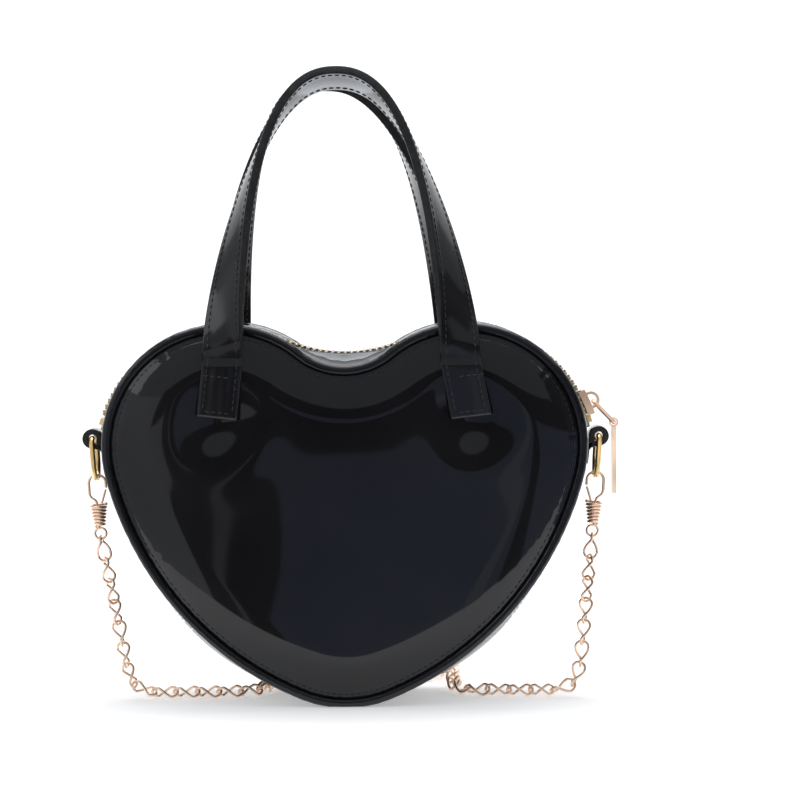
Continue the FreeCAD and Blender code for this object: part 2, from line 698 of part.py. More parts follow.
# Route of the chain: eye, drop, floor, coil behind the purse, floor, drop, eye
off_floor = 0.05
lie_z = half_side + link_d / 2 + off_floor
drop_bend, lane_bend = size("drop_bend"), size("lane_bend")
eye_joint = eye_z - eye_r + eye_wire_r + size("link_play") / 2 + link_d / 2
eye_joint -= (link_d + size("link_play")) / 2
foot_x = {-1: -size("left_foot"), 1: size("right_foot")}
tube_d = link_w
tube_pitch = tube_d + size("turn_gap")
layer_gap = 0.5
coil_z = [tube_d / 2 + off_floor, tube_d * 1.5 + off_floor + layer_gap]
lane_x = -size("lane_spread")
coil_back = size("coil_back")
half_turns = 7
coil_r = [size("coil_radius") - n * tube_pitch / 2 for n in range(half_turns)]


class Route:
    """Tangent lines and arcs that start at a point in a level or upright heading."""

    def __init__(self, start):
        self.at = start
        self.edges = []

    def line(self, end):
        self.edges.append(Part.makeLine(self.at, end))
        self.at = end

    def arc(self, through, end):
        self.edges.append(Part.Arc(self.at, through, end).toShape())
        self.at = end

    def level_turn(self, centre, degrees_turned):
        """Turn in the level plane about a centre, positive to the left."""
        arm = self.at - centre
        half = FreeCAD.Rotation(V(0, 0, 1), degrees_turned / 2)
        full = FreeCAD.Rotation(V(0, 0, 1), degrees_turned)
        self.arc(centre + half.multVec(arm), centre + full.multVec(arm))

    def climb(self, end):
        """Double bend along a straight run to a point at another height."""
        start = self.at
        flat_run = V(end.x - start.x, end.y - start.y, 0)
        rise = end.z - start.z
        way = flat_run.normalize()
        run = hypot(end.x - start.x, end.y - start.y)
        turn = 2 * atan(rise / run)
        r = run / 2 / sin(turn)
        step, lift = r * sin(turn / 2), r * (1 - cos(turn / 2))
        middle = (start + end) * 0.5
        self.arc(start + way * step + V(0, 0, lift), middle)
        self.arc(end - way * step - V(0, 0, lift), end)


def drop_corner(side):
    """Points where a drop leaves its line for the floor arc, and lies down."""
    top = hang_point(clasp_point(0, eye_joint))
    top.x *= side
    corner_at = V(foot_x[side], 0, lie_z)
    slope_dir = (top - corner_at).normalize()
    inward = V(-side, 0, 0)
    half = acos(slope_dir.dot(inward)) / 2
    tangent_run = drop_bend / tan(half)
    bisector = (slope_dir + inward).normalize()
    centre = corner_at + bisector * (drop_bend / sin(half))
    return (top, corner_at + slope_dir * tangent_run, centre - bisector * drop_bend,
            corner_at + inward * tangent_run)


def strap_route(run):
    """The whole chain; run is the straight length in each half turn of the coil."""
    top, leave, through, lie = drop_corner(-1)
    route = Route(top)
    route.line(leave)
    route.arc(through, lie)
    route.line(V(lane_x - lane_bend, 0, lie_z))
    route.level_turn(V(lane_x - lane_bend, lane_bend, lie_z), 90)
    route.climb(V(lane_x, coil_back - coil_r[0], coil_z[0]))
    left_x = lane_x + coil_r[0]
    right_x = left_x + run
    z = coil_z[0]
    route.level_turn(V(left_x, route.at.y, z), -90)
    heading = 1
    for r in coil_r[1:] + [0] + coil_r[:0:-1]:
        if r:
            end_x = right_x if heading > 0 else left_x
            if abs(route.at.x - end_x) > 0.01:
                route.line(V(end_x, route.at.y, z))
            route.level_turn(V(end_x, route.at.y - heading * r, z), -180)
            heading = -heading
        else:
            z = coil_z[1]
            route.climb(V(right_x if heading > 0 else left_x, route.at.y, z))
    route.line(V(right_x, route.at.y, z))
    out_x = right_x + coil_r[0]
    route.level_turn(V(right_x, route.at.y - coil_r[0], z), -90)
    route.line(V(out_x, coil_back - 2 * coil_r[0] + 12, z))
    route.climb(V(out_x, lane_bend, lie_z))
    route.level_turn(V(out_x + lane_bend, lane_bend, lie_z), 90)
    top, leave, through, lie = drop_corner(1)
    route.line(lie)
    route.arc(through, leave)
    route.line(top)
    return route.edges


def route_length(run):
    return sum(e.Length for e in strap_route(run))


# The strap's length fixes the coil: the run in each half turn takes up what is left
clasp_length = ring_low + ring_r - eye_joint
chain_length = size("strap_length") - 2 * clasp_length
low_run, high_run = 4.0, 40.0
for step in range(40):
    middle_run = (low_run + high_run) / 2
    if route_length(middle_run) > chain_length:
        high_run = middle_run
    else:
        low_run = middle_run
route_edges = strap_route(low_run)
print("chain %.1f mm, coil run %.2f mm" % (sum(e.Length for e in route_edges), low_run))


def on_route(run):
    """Point on the chain's centre line at a length from the left eye."""
    for edge in route_edges:
        if run <= edge.Length:
            return edge.valueAt(edge.getParameterByLength(run))
        run -= edge.Length
    return edge.valueAt(edge.LastParameter)


drop_run = {-1: sum(e.Length for e in route_edges[:2]), 1: sum(e.Length for e in route_edges[-2:])}


def lay_link(run, side):
    """One link between two joints of the chain, lying flat on the floor, edge on when it hangs."""
    a, b = on_route(run), on_route(run + link_p)
    way = (b - a).normalize()
    level = V(0, 1, 0) if abs(way.z) > 0.05 and abs(way.y) < 0.05 else V(0, 0, 1).cross(way)
    level = (level - way * level.dot(way)).normalize()
    if side > 0 and level.y < 0:
        level = -level
    from_end = run if side < 0 else chain_length - run - link_p
    hang = max(0.0, 1 - (from_end + link_p / 2) / drop_run[side])
    turn = FreeCAD.Rotation(way, -45 * hang * hang * (3 - 2 * hang) * side)
    level = turn.multVec(level)
    up = way.cross(level)
    frame = FreeCAD.Matrix(way.x, level.x, up.x, (a.x + b.x) / 2, way.y, level.y, up.y,
                           (a.y + b.y) / 2, way.z, level.z, up.z, (a.z + b.z) / 2, 0, 0, 0, 1)
    placed = link.copy()
    placed.Placement = FreeCAD.Placement(frame)
    return placed


lane_end = 34.0
left_links = int((drop_run[-1] + route_edges[2].Length + route_edges[3].Length + lane_end - lane_bend)
                 / link_p)
for side, word in ((-1, "left"), (1, "right")):
    drop_links = int(drop_run[side] / link_p)
    laid = []
    for n in range(left_links):
        run = n * link_p if side < 0 else chain_length - (n + 1) * link_p
        laid.append(lay_link(run, side))
    feature("chain_%s_drop" % word, Part.Compound(laid[:drop_links]))
    feature("chain_%s_run" % word, Part.Compound(laid[drop_links:]))


def coil_tube(first, last):
    """The put-away chain as one round run along the route between two lengths."""
    edges, done = [], 0.0
    for edge in route_edges:
        a, b = max(first - done, 0.0), min(last - done, edge.Length)
        if b - a > 0.01:
            p0, p1 = edge.getParameterByLength(a), edge.getParameterByLength(b)
            edges.append(edge.Curve.toShape(p0, p1))
        done += edge.Length
    path = Part.Wire(edges)
    start = edges[0]
    circle = Part.makeCircle(tube_d / 2, start.valueAt(start.FirstParameter),
                             start.tangentAt(start.FirstParameter))
    points = path.discretize(Distance=1.5)
    print("coil gap %.2f mm" % least_gap(points, 12, tube_d))
    return path.makePipeShell([Part.Wire(circle)], True, False)


end_play = link_d + clear
feature("chain_coil", coil_tube(left_links * link_p + end_play,
                                chain_length - left_links * link_p - end_play))

# Handles: a strap that lies flat on its tabs and turns edge-on over the arch
strap_w, strap_t = size("strap_width"), size("strap_thick")
hinge_z = seam_top - size("hinge_drop")
hinge_y = cap_y - strap_t / 2 - clear
hinge_x = size("hinge_spread")
rise, lean = size("handle_rise"), size("handle_lean")
top_twist, twist_end = size("strap_twist"), 0.95


def climbed(q):
    """Share of the handle's height reached at a share of its left half."""
    return 1 - (1 - q) ** 2.3


def strap_centre(q):
    """Centre of the left half of the strap, from the tab (0) to the top of the arch (1)."""
    u = climbed(q)
    return V(-hinge_x * (1 - u ** 1.5) ** 0.433, hinge_y + lean * u ** 1.25, hinge_z + rise * u)


def strap_section(q):
    """Corners of the strap's section on its left half."""
    centre = strap_centre(q)
    if q == 0:
        way, level = V(0, 0, 1), V(1, 0, 0)
        out = V(0, -1, 0)
    else:
        way = (strap_centre(min(q + 0.01, 1)) - strap_centre(q - 0.01)).normalize()
        if q == 1:
            way = V(1, 0, 0)
        lean_turn = atan(lean / rise)
        out = V(0, -cos(lean_turn), sin(lean_turn))
        level = out.cross(way).normalize()
        out = level.cross(way)
        share = min(climbed(q) / twist_end, 1)
        twist = radians(top_twist) * share * share * (3 - 2 * share)
        level, out = level * cos(twist) + out * sin(twist), out * cos(twist) - level * sin(twist)
    w, t = level * (strap_w / 2), out * (strap_t / 2)
    return [centre - w - t, centre + w - t, centre + w + t, centre - w + t]


def strap_wire(q, side):
    """Section of either half, moved over by the handle's slight sway."""
    sway = -size("handle_sway") * climbed(q)
    corners = [V(-side * p.x + sway, p.y, p.z) for p in strap_section(q)]
    return Part.makePolygon(corners + corners[:1])


steps = 12
wires = [strap_wire(n / steps, -1) for n in range(steps + 1)]
wires += [strap_wire(n / steps, 1) for n in range(steps - 1, -1, -1)]
strap = Part.makeLoft(wires, True, False)
for side in (-1, 1):
    nose = Part.makeCylinder(strap_t / 2, strap_w, V(side * hinge_x - strap_w / 2, hinge_y, hinge_z),
                             V(1, 0, 0))
    strap = strap.fuse(nose)
both("front_handle", "rear_handle", strap)

# Handle tabs: the ends of the straps, stitched flat to the panels
tab_top = hinge_z - strap_t / 2 - clear
tab_lean = degrees(atan((size("handle_spread") - hinge_x) / size("tab_length")))
for side, word in ((-1, "left"), (1, "right")):
    plate_box = doc.addObject("Part::Box", "tab_plate_" + word)
    plate_box.setExpression("Length", "Sheet.strap_width")
    plate_box.setExpression("Width", "Sheet.strap_thick")
    plate_box.setExpression("Height", "Sheet.tab_length + 4")
    turn = FreeCAD.Rotation(V(0, -1, 0), side * tab_lean)
    low_end = V(side * size("handle_spread"), cap_y - strap_t, tab_top - size("tab_length"))
    plate_box.Placement = FreeCAD.Placement(low_end - turn.multVec(V(strap_w / 2, 0, 0)), turn)
    top_box = doc.addObject("Part::Box", "tab_trim_" + word)
    top_box.Length, top_box.Width, top_box.Height = 40, 20, 20
    top_box.Placement.Base = V(side * hinge_x - 20, cap_y - 10, tab_top)
    for face, sense in (("front", 1), ("rear", -1)):
        label = "%s_handle_tab_%s" % (face, word)
        if sense > 0:
            tab = doc.addObject("Part::Cut", label)
            tab.Base, tab.Tool = plate_box, top_box
        else:
            tab = doc.addObject("Part::Mirroring", label)
            tab.Source = doc.getObject("front_handle_tab_" + word)
            tab.Normal = V(0, 1, 0)
        tab.Label = label

doc.recompute()

for word, point in (("ring", ring_at), ("ring low", hang_point(V(ring_at.x, 0, ring_low))),
                    ("bridge eye", bridge_eye), ("pull eye", pull_eye), ("gate", hang_point(gate_foot)),
                    ("lobe", lobe_centre), ("handle hinge", V(0, hinge_y, hinge_z)),
                    ("chain eye", hang_point(clasp_point(0, eye_joint)))):
    print("%-12s %.3f %.3f %.3f" % (word, point.x, point.y, point.z))

# Every finished piece, checked and written under its label
helpers = ("tab_plate_", "tab_trim_")
os.makedirs("parts", exist_ok=True)
for obj in doc.Objects:
    if "Invalid" in obj.State or "Error" in obj.State:
        raise RuntimeError("%s is in state %s" % (obj.Label, obj.State))
    finished = obj.isDerivedFrom("PartDesign::Body") or (
        obj.TypeId.startswith("Part::") and not obj.Label.startswith(helpers))
    if not finished:
        continue
    if obj.Shape.isNull() or not obj.Shape.isValid():
        raise RuntimeError(obj.Label + " has no valid shape")
    obj.Shape.exportStep("parts/%s.step" % obj.Label)
    box = obj.Shape.BoundBox
    print("%-22s %2d solids %9.2f mm3  x %.1f..%.1f y %.1f..%.1f z %.1f..%.1f" % (
        obj.Label, len(obj.Shape.Solids), obj.Shape.Volume, box.XMin, box.XMax, box.YMin,
        box.YMax, box.ZMin, box.ZMax))
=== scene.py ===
import math

import bmesh
import bpy
import numpy as np
from mathutils import Matrix, Vector


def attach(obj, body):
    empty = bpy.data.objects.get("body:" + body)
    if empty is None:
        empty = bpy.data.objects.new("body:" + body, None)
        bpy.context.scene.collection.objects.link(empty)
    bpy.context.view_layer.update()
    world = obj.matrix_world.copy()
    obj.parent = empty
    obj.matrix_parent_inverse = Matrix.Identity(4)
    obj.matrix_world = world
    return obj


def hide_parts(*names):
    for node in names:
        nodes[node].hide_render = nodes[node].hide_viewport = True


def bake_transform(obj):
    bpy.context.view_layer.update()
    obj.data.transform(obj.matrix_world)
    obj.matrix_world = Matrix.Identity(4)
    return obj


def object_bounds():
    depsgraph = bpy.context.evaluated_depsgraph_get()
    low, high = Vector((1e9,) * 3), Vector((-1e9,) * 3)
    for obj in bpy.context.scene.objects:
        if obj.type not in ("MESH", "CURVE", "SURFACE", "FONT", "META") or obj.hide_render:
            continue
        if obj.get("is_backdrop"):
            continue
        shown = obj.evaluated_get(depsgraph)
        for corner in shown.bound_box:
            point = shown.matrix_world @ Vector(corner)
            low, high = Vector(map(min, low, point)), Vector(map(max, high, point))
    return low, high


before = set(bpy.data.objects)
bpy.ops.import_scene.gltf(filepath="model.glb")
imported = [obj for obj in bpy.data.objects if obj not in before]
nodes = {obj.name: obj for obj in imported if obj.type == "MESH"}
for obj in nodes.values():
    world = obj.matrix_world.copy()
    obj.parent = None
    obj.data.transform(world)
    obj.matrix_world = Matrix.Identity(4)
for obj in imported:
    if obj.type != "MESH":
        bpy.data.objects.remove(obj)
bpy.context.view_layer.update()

# %% [markdown]
# A heart shaped purse of black patent, with two strap handles, a zip over the lobes and a chain
# strap that hangs from a ring at each side. The solids of the frame carry the sizes and the joints;
# this lesson dresses them. The box of the dressed purse is printed at the end.

# %% [markdown]
# The camera stands about a metre away and looks slightly down, as a product photographer does. A
# long lens keeps the lobes from bulging. Its matrix is built of steps that can be read in order: go
# to the point it looks at, tilt, roll, and step back.

# %% Camera
PITCH, ROLL, DISTANCE = math.radians(2.5), math.radians(-0.35), 1.0
AIM = Vector((0.0194, 0.0, 0.1064))
FOCAL_PIXELS, IMAGE_PIXELS, SENSOR = 2803.0, 800.0, 36.0


def add_object(name, data):
    """New object, linked to the scene."""
    thing = bpy.data.objects.new(name, data)
    bpy.context.scene.collection.objects.link(thing)
    return thing


camera_data = bpy.data.cameras.new("camera")
camera_data.sensor_width = SENSOR
camera_data.lens = SENSOR * FOCAL_PIXELS / IMAGE_PIXELS
camera = add_object("camera", camera_data)
camera.matrix_world = (Matrix.Translation(AIM) @ Matrix.Rotation(math.pi / 2 - PITCH, 4, "X")
                       @ Matrix.Rotation(ROLL, 4, "Z") @ Matrix.Translation((0, 0, DISTANCE)))
bpy.context.scene.camera = camera
print("camera at", [round(v, 3) for v in camera.location])

# %% [markdown]
# Nearly every piece here is a row of cross-sections joined by faces: straps, welts, bands, wire.
# These small helpers make a mesh from arrays of points, join rings into a skin, and tell the frame
# which body carries a piece. Writing them once keeps the later cells short.

# %% Helpers for meshes
MM = 0.001


def new_piece(name, points, faces, materials, picks=None, smooth=True, closed=True):
    """Mesh object from points in millimetres; picks gives each face's material."""
    mesh = bpy.data.meshes.new(name)
    mesh.from_pydata([tuple(p) for p in np.asarray(points) * MM], [], [tuple(f) for f in faces])
    for material in materials:
        mesh.materials.append(material)
    if picks is not None:
        mesh.polygons.foreach_set("material_index", np.asarray(picks, dtype=np.int32))
    mesh.polygons.foreach_set("use_smooth", [smooth] * len(mesh.polygons))
    mesh.validate()
    mesh.update()
    if closed:
        work = bmesh.new()
        work.from_mesh(mesh)
        bmesh.ops.recalc_face_normals(work, faces=work.faces)
        work.to_mesh(mesh)
        work.free()
    return add_object(name, mesh)


def dress(piece, body, replaced=()):
    """Tell the frame a piece's body and the nodes that it replaces."""
    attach(piece, body)
    if replaced:
        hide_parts(*replaced)


def quads(index):
    """Four-cornered faces between the neighbours in a table of point numbers."""
    corners = (index[:-1, :-1], index[1:, :-1], index[1:, 1:], index[:-1, 1:])
    return [tuple(face) for face in np.stack(corners, -1).reshape(-1, 4).tolist()]


def skin(rings, around=True, along=False, first=0):
    """Faces between rows of points; around closes each row, along closes the rows."""
    rows, count = len(rings), len(rings[0])
    index = first + np.arange(rows * count).reshape(rows, count)
    index = np.vstack((index, index[:int(along)]))
    return quads(np.hstack((index, index[:, :int(around)])))


def capped(rings, first=0):
    """Faces of a closed skin with a cap at each end."""
    count = len(rings[0])
    last = first + (len(rings) - 1) * count
    return skin(rings, first=first) + [tuple(range(first, first + count))[::-1],
                                       tuple(range(last, last + count))]


def shifted(faces, start):
    """Faces of a copy whose points begin at start."""
    return [tuple(start + v for v in f) for f in faces]


def unit(v):
    v = np.asarray(v, float)
    return v / np.maximum(np.linalg.norm(v, axis=-1, keepdims=True), 1e-12)


print("mesh helpers ready")

# %% [markdown]
# A finish in Blender is a graph of nodes. All finishes of the purse are built from the same few:
# noise, a ramp that turns it into two tints, a range that turns it into roughness, and a bump.
# Each helper gives the output of its node, and plug sets or links the sockets of the next one.

# %% Helpers for finishes
def plug(tree, node, **given):
    """Give named sockets of a node a value, or a link from another node's output."""
    for name, value in given.items():
        socket = node.inputs[name.replace("_", " ")]
        if isinstance(value, bpy.types.NodeSocket):
            tree.links.new(value, socket)
        else:
            socket.default_value = value


def node_graph(name):
    """New material: itself, its node tree, its shader and the place on the object."""
    material = bpy.data.materials.new(name)
    material.use_nodes = True
    tree = material.node_tree
    place = tree.nodes.new("ShaderNodeTexCoord").outputs["Object"]
    return material, tree, tree.nodes["Principled BSDF"], place


def noise(tree, place, scale, detail):
    node = tree.nodes.new("ShaderNodeTexNoise")
    plug(tree, node, Vector=place, Scale=scale, Detail=detail)
    return node.outputs["Fac"]


def tints(tree, source, low, high, start=0.3, end=0.7):
    node = tree.nodes.new("ShaderNodeValToRGB")
    plug(tree, node, Fac=source)
    first, last = node.color_ramp.elements
    first.position, last.position = start, end
    first.color, last.color = (*low, 1.0), (*high, 1.0)
    return node.outputs["Color"]


def spread(tree, source, low, high):
    node = tree.nodes.new("ShaderNodeMapRange")
    plug(tree, node, Value=source, To_Min=low, To_Max=high)
    return node.outputs["Result"]


def bump(tree, source, strength, distance):
    node = tree.nodes.new("ShaderNodeBump")
    plug(tree, node, Height=source, Strength=strength, Distance=distance)
    return node.outputs["Normal"]


print("finish helpers ready")

# %% [markdown]
# Patent is a soft black sheet under a thick clear film: the colour is almost nothing, and all that
# is seen is what the film mirrors. The clear coat gives the mirror, a little blurred and more so on
# the straps. The sheet below is dull, with noise in its tint and grain. The cut edges of the straps
# are painted, which is matt and rough to the touch.

# %% Patent and its painted edge
PATENT_BLUR, STRAP_BLUR = 0.07, 0.14


def patent_finish(name, blur):
    material, tree, shader, place = node_graph(name)
    cloud = noise(tree, place, scale=26.0, detail=2.0)
    smear = noise(tree, place, scale=70.0, detail=4.0)
    grain = noise(tree, place, scale=1500.0, detail=2.0)
    plug(tree, shader, Roughness=spread(tree, smear, 0.35, 0.50), Specular_IOR_Level=0.04,
         Base_Color=tints(tree, cloud, (0.0035, 0.0036, 0.0046), (0.0070, 0.0070, 0.0080)),
         Coat_Weight=0.88, Coat_Roughness=blur, Coat_IOR=1.5,
         Normal=bump(tree, grain, strength=0.05, distance=0.0002))
    return material


def edge_finish(name):
    material, tree, shader, place = node_graph(name)
    grain = noise(tree, place, scale=420.0, detail=5.0)
    plug(tree, shader, Roughness=spread(tree, grain, 0.42, 0.65), Specular_IOR_Level=0.25,
         Base_Color=tints(tree, grain, (0.006, 0.006, 0.007), (0.018, 0.018, 0.019)),
         Normal=bump(tree, grain, strength=0.35, distance=0.0003))
    return material


patent = patent_finish("patent_black", PATENT_BLUR)
strap_patent = patent_finish("strap_patent", STRAP_BLUR)
edge_paint = edge_finish("painted_edge")
print("made", patent.name, strap_patent.name, edge_paint.name)

# %% [markdown]
# The thread, the woven zip tape and the lining are cloth. Two crossed wave textures, multiplied,
# make the weave; a finer one of the same kind serves for the thread.

# %% Cloth finishes
def woven_finish(name, low, high, scale, rough, strength):
    material, tree, shader, place = node_graph(name)
    mix = tree.nodes.new("ShaderNodeMath")
    mix.operation = "MULTIPLY"
    for n, direction in enumerate(("X", "Z")):
        wave = tree.nodes.new("ShaderNodeTexWave")
        wave.bands_direction = direction
        plug(tree, wave, Vector=place, Scale=scale, Distortion=0.6)
        tree.links.new(wave.outputs["Fac"], mix.inputs[n])
    weave = mix.outputs[0]
    plug(tree, shader, Base_Color=tints(tree, weave, low, high, start=0.1, end=0.9),
         Roughness=rough, Sheen_Weight=0.15, Normal=bump(tree, weave, strength, distance=0.0002))
    return material


tape_cloth = woven_finish("zip_tape_weave", (0.006, 0.006, 0.007), (0.020, 0.020, 0.022),
                          scale=520.0, rough=0.75, strength=0.6)
lining_cloth = woven_finish("lining_weave", (0.010, 0.010, 0.012), (0.035, 0.035, 0.038),
                            scale=420.0, rough=0.8, strength=0.4)
thread = woven_finish("sewing_thread", (0.004, 0.004, 0.005), (0.013, 0.013, 0.015),
                      scale=900.0, rough=0.5, strength=0.3)
print("made", tape_cloth.name, lining_cloth.name, thread.name)

# %% [markdown]
# The rings and the stops of the zip are plated in a yellow gold, the slider, the clasps and the
# chain in a paler, rosier one, and the teeth are a dark brass. Plating is a metal with little
# roughness; noise varies it, as handling does.

# %% Gold finishes
def gold_finish(name, low, high, rough):
    material, tree, shader, place = node_graph(name)
    cloud = noise(tree, place, scale=160.0, detail=3.0)
    fine = noise(tree, place, scale=2400.0, detail=2.0)
    plug(tree, shader, Base_Color=tints(tree, cloud, low, high), Metallic=1.0,
         Roughness=spread(tree, cloud, rough - 0.05, rough + 0.08),
         Normal=bump(tree, fine, strength=0.06, distance=0.0001))
    return material


gold = gold_finish("gold_plate", (0.70, 0.47, 0.20), (0.86, 0.62, 0.30), 0.20)
rose_gold = gold_finish("rose_gold_plate", (0.84, 0.60, 0.46), (0.97, 0.75, 0.58), 0.30)
tooth_metal = gold_finish("zip_tooth_metal", (0.26, 0.20, 0.12), (0.46, 0.36, 0.22), 0.30)
print("made", gold.name, rose_gold.name, tooth_metal.name)

# %% [markdown]
# The shoulder strap is a curb chain 1200 mm long with its clasps. The photograph shows a drop at
# each side and a run on the floor; the rest is put away in a coil behind the purse. Its line is one
# smooth spline through the route's corners. The coil's turns are points of the same spline, set by
# a loop: half turns that shrink towards the middle, step up a layer and grow again.

# %% Chain route
EYE_X, EYE_Z = 87.768, 57.736
LEFT_FOOT, RIGHT_FOOT, BEND_Z, LIE_Z = 77.0, 82.0, 19.0, 2.113
LANE_X, LANE_START, LANE_END, LANE_ROUND = 29.4, 6.0, 24.0, 9.0
CHAIN_D, TURN_GAP, COIL_RADIUS, HALF_TURNS, TURN_STEPS = 5.4, 0.6, 25.8, 7, 6
COIL_BACK, COIL_LOW, COIL_HIGH, COIL_RUN = 78.2, 2.75, 8.65, 16.08
CHAIN_LENGTH = 1156.5

left_x = -LANE_X + COIL_RADIUS
right_x = left_x + COIL_RUN
coil_mid_y = COIL_BACK - COIL_RADIUS
swell = 1 / math.cos(math.pi / TURN_STEPS / 2)


def run_along(line):
    """Length from the start of a line to each of its points."""
    return np.concatenate(([0.0], np.cumsum(np.linalg.norm(np.diff(line, axis=0), axis=1))))


def turn_points(centre_x, centre_y, radius, start, count, z):
    """Control points of a clockwise turn that begins at a start angle."""
    points = []
    for k in range(count):
        angle = start - (k + 0.5) * math.pi / TURN_STEPS
        points.append((centre_x + radius * swell * math.cos(angle),
                       centre_y + radius * swell * math.sin(angle), z))
    return points


route = [(-EYE_X, 0, EYE_Z), (-LEFT_FOOT - 3.2, 0, BEND_Z), (-LEFT_FOOT - 0.5, 0, LIE_Z),
         (-LEFT_FOOT + 15, 0, LIE_Z), (-LANE_X - LANE_ROUND, 0, LIE_Z),
         (-LANE_X, LANE_START, LIE_Z), (-LANE_X, LANE_END, LIE_Z),
         (-LANE_X, coil_mid_y - 8, COIL_LOW)]
route += turn_points(left_x, coil_mid_y, COIL_RADIUS, math.pi, TURN_STEPS // 2, COIL_LOW)
radii = [COIL_RADIUS - n * (CHAIN_D + TURN_GAP) / 2 for n in range(HALF_TURNS)]
y_now, heading = COIL_BACK, 1
for layer, row in ((COIL_LOW, radii[1:]), (COIL_HIGH, radii[:0:-1])):
    for radius in row:
        centre_x = right_x if heading > 0 else left_x
        route += turn_points(centre_x, y_now - heading * radius, radius,
                             math.pi / 2 * heading, TURN_STEPS, layer)
        y_now -= 2 * heading * radius
        heading = -heading
route += turn_points(right_x, y_now - COIL_RADIUS, COIL_RADIUS, math.pi / 2, TURN_STEPS // 2,
                     COIL_HIGH)
out_x = right_x + COIL_RADIUS
route += [(out_x, y_now - 1.3 * COIL_RADIUS, COIL_HIGH), (out_x, LANE_END, LIE_Z + 2.0),
          (out_x, LANE_START, LIE_Z), (out_x + LANE_ROUND, 0, LIE_Z),
          (RIGHT_FOOT - 15, 0, LIE_Z), (RIGHT_FOOT + 0.5, 0, LIE_Z),
          (RIGHT_FOOT + 2.2, 0, BEND_Z), (EYE_X, 0, EYE_Z)]

curve = bpy.data.curves.new("chain_line", "CURVE")
curve.dimensions = "3D"
curve.resolution_u = 16
spline = curve.splines.new("NURBS")
spline.points.add(len(route) - 1)
for point, place in zip(spline.points, route):
    point.co = (*(np.array(place) * MM), 1.0)
spline.order_u = 3
spline.use_endpoint_u = True
line_object = add_object("chain_line", curve)
line_mesh = bpy.data.meshes.new_from_object(line_object)
chain_line = np.array([v.co for v in line_mesh.vertices]) / MM
bpy.data.objects.remove(line_object)
chain_run = run_along(chain_line)
print("chain line", round(chain_run[-1], 1), "mm of", CHAIN_LENGTH, "with", len(route), "points")

# %% [markdown]
# One link is a wire oval whose two ends stand a quarter turn apart, so that the links lie flat in a
# row. It is drawn as a flat oval, twisted about its length, and given a round section. Each link
# then sits between two joints on the line. The hanging ones turn a little more from link to link,
# and some chance tilt keeps the row from looking drawn.

# %% Chain links
LINK_PITCH, LINK_WIDTH, LINK_WIRE, LINK_PLAY = 7.8, 5.6, 1.0, 0.3
LINK_STEPS, LINK_SIDES = 36, 8
TILT, LINK_LIFT, STEEP, CROSSWISE = 6.0, 0.05, 0.3, 0.7
HANG_TURNS = (45, 24, 0, -20, -32, -34, -28, -14)
rng = np.random.default_rng(7)


def full_turn(count):
    """Even angles all the way round."""
    return np.linspace(0, 2 * math.pi, count, endpoint=False)


def wire_rings(points, radius, sides, closed=False):
    """Rings of a round wire along a line, carried along it without twist."""
    points = np.asarray(points, float)
    if closed:
        ways = unit(np.roll(points, -1, 0) - np.roll(points, 1, 0))
    else:
        ways = unit(np.gradient(points, axis=0))
    start = np.cross(ways[0], (0.0, 0.0, 1.0))
    if np.linalg.norm(start) < 0.1:
        start = np.cross(ways[0], (0.0, 1.0, 0.0))
    normals = [unit(start)]
    for way in ways[1:]:
        normals.append(unit(normals[-1] - way * (normals[-1] @ way)))
    normals = np.array(normals)
    sideways = np.cross(ways, normals)
    angles = full_turn(sides)
    return points[:, None] + radius * (np.cos(angles)[None, :, None] * normals[:, None]
                                       + np.sin(angles)[None, :, None] * sideways[:, None])


def link_rings():
    """Rings of one link about its middle, along X: a straight and a bend, twice."""
    bend = (LINK_WIDTH - LINK_WIRE) / 2
    half = LINK_PITCH / 2 + (LINK_WIRE + LINK_PLAY) / 2 - bend
    straight, turn = 2 * half, math.pi * bend
    run = np.linspace(0, 2 * (straight + turn), LINK_STEPS, endpoint=False)
    side = np.where(run < straight + turn, 1, -1)
    run = run % (straight + turn)
    angle = math.pi / 2 - np.clip(run - straight, 0, None) / bend
    x = side * (np.minimum(run, straight) - half + bend * np.cos(angle))
    y = side * bend * np.sin(angle)
    twist = math.pi / 4 * np.clip(x / half, -1, 1)
    points = np.column_stack((x, y * np.cos(twist), y * np.sin(twist)))
    return wire_rings(points, LINK_WIRE / 2, LINK_SIDES, closed=True)


def places(line, run, at):
    """Points of a line at lengths from its start."""
    return np.stack([np.interp(at, run, line[:, k]) for k in range(line.shape[1])], -1)


def on_line(at):
    return places(chain_line, chain_run, at)


link_count = round(chain_run[-1] / LINK_PITCH)
pitch = chain_run[-1] / link_count
one_link = link_rings()
one_faces = skin(one_link, along=True)
one_link = one_link.reshape(-1, 3)


def place_link(n):
    """Points of link n on the line: flat on the floor, edge on where it hangs."""
    a, b = on_line(n * pitch), on_line((n + 1) * pitch)
    way = unit(b - a)
    hanging = abs(way[2]) > STEEP
    level = np.array((0.0, 1.0, 0.0)) if hanging else np.cross((0.0, 0.0, 1.0), way)
    if level[1] < 0 and abs(way[0]) > CROSSWISE:
        level = -level
    level = unit(level - way * (level @ way))
    rise = np.cross(way, level)
    from_clasp = min(n, link_count - 1 - n)
    side = 1 if n < link_count / 2 else -1
    turn = HANG_TURNS[from_clasp] if from_clasp < len(HANG_TURNS) else 0
    tilt = math.radians(turn * side + rng.normal(0, TILT))
    level, rise = (level * math.cos(tilt) + rise * math.sin(tilt),
                   rise * math.cos(tilt) - level * math.sin(tilt))
    placed = one_link @ np.array((way, level, rise)) + (a + b) / 2
    placed[:, 2] += max(0.0, LINK_LIFT - placed[:, 2].min())
    return placed


print(link_count, "links at", round(pitch, 3), "mm")
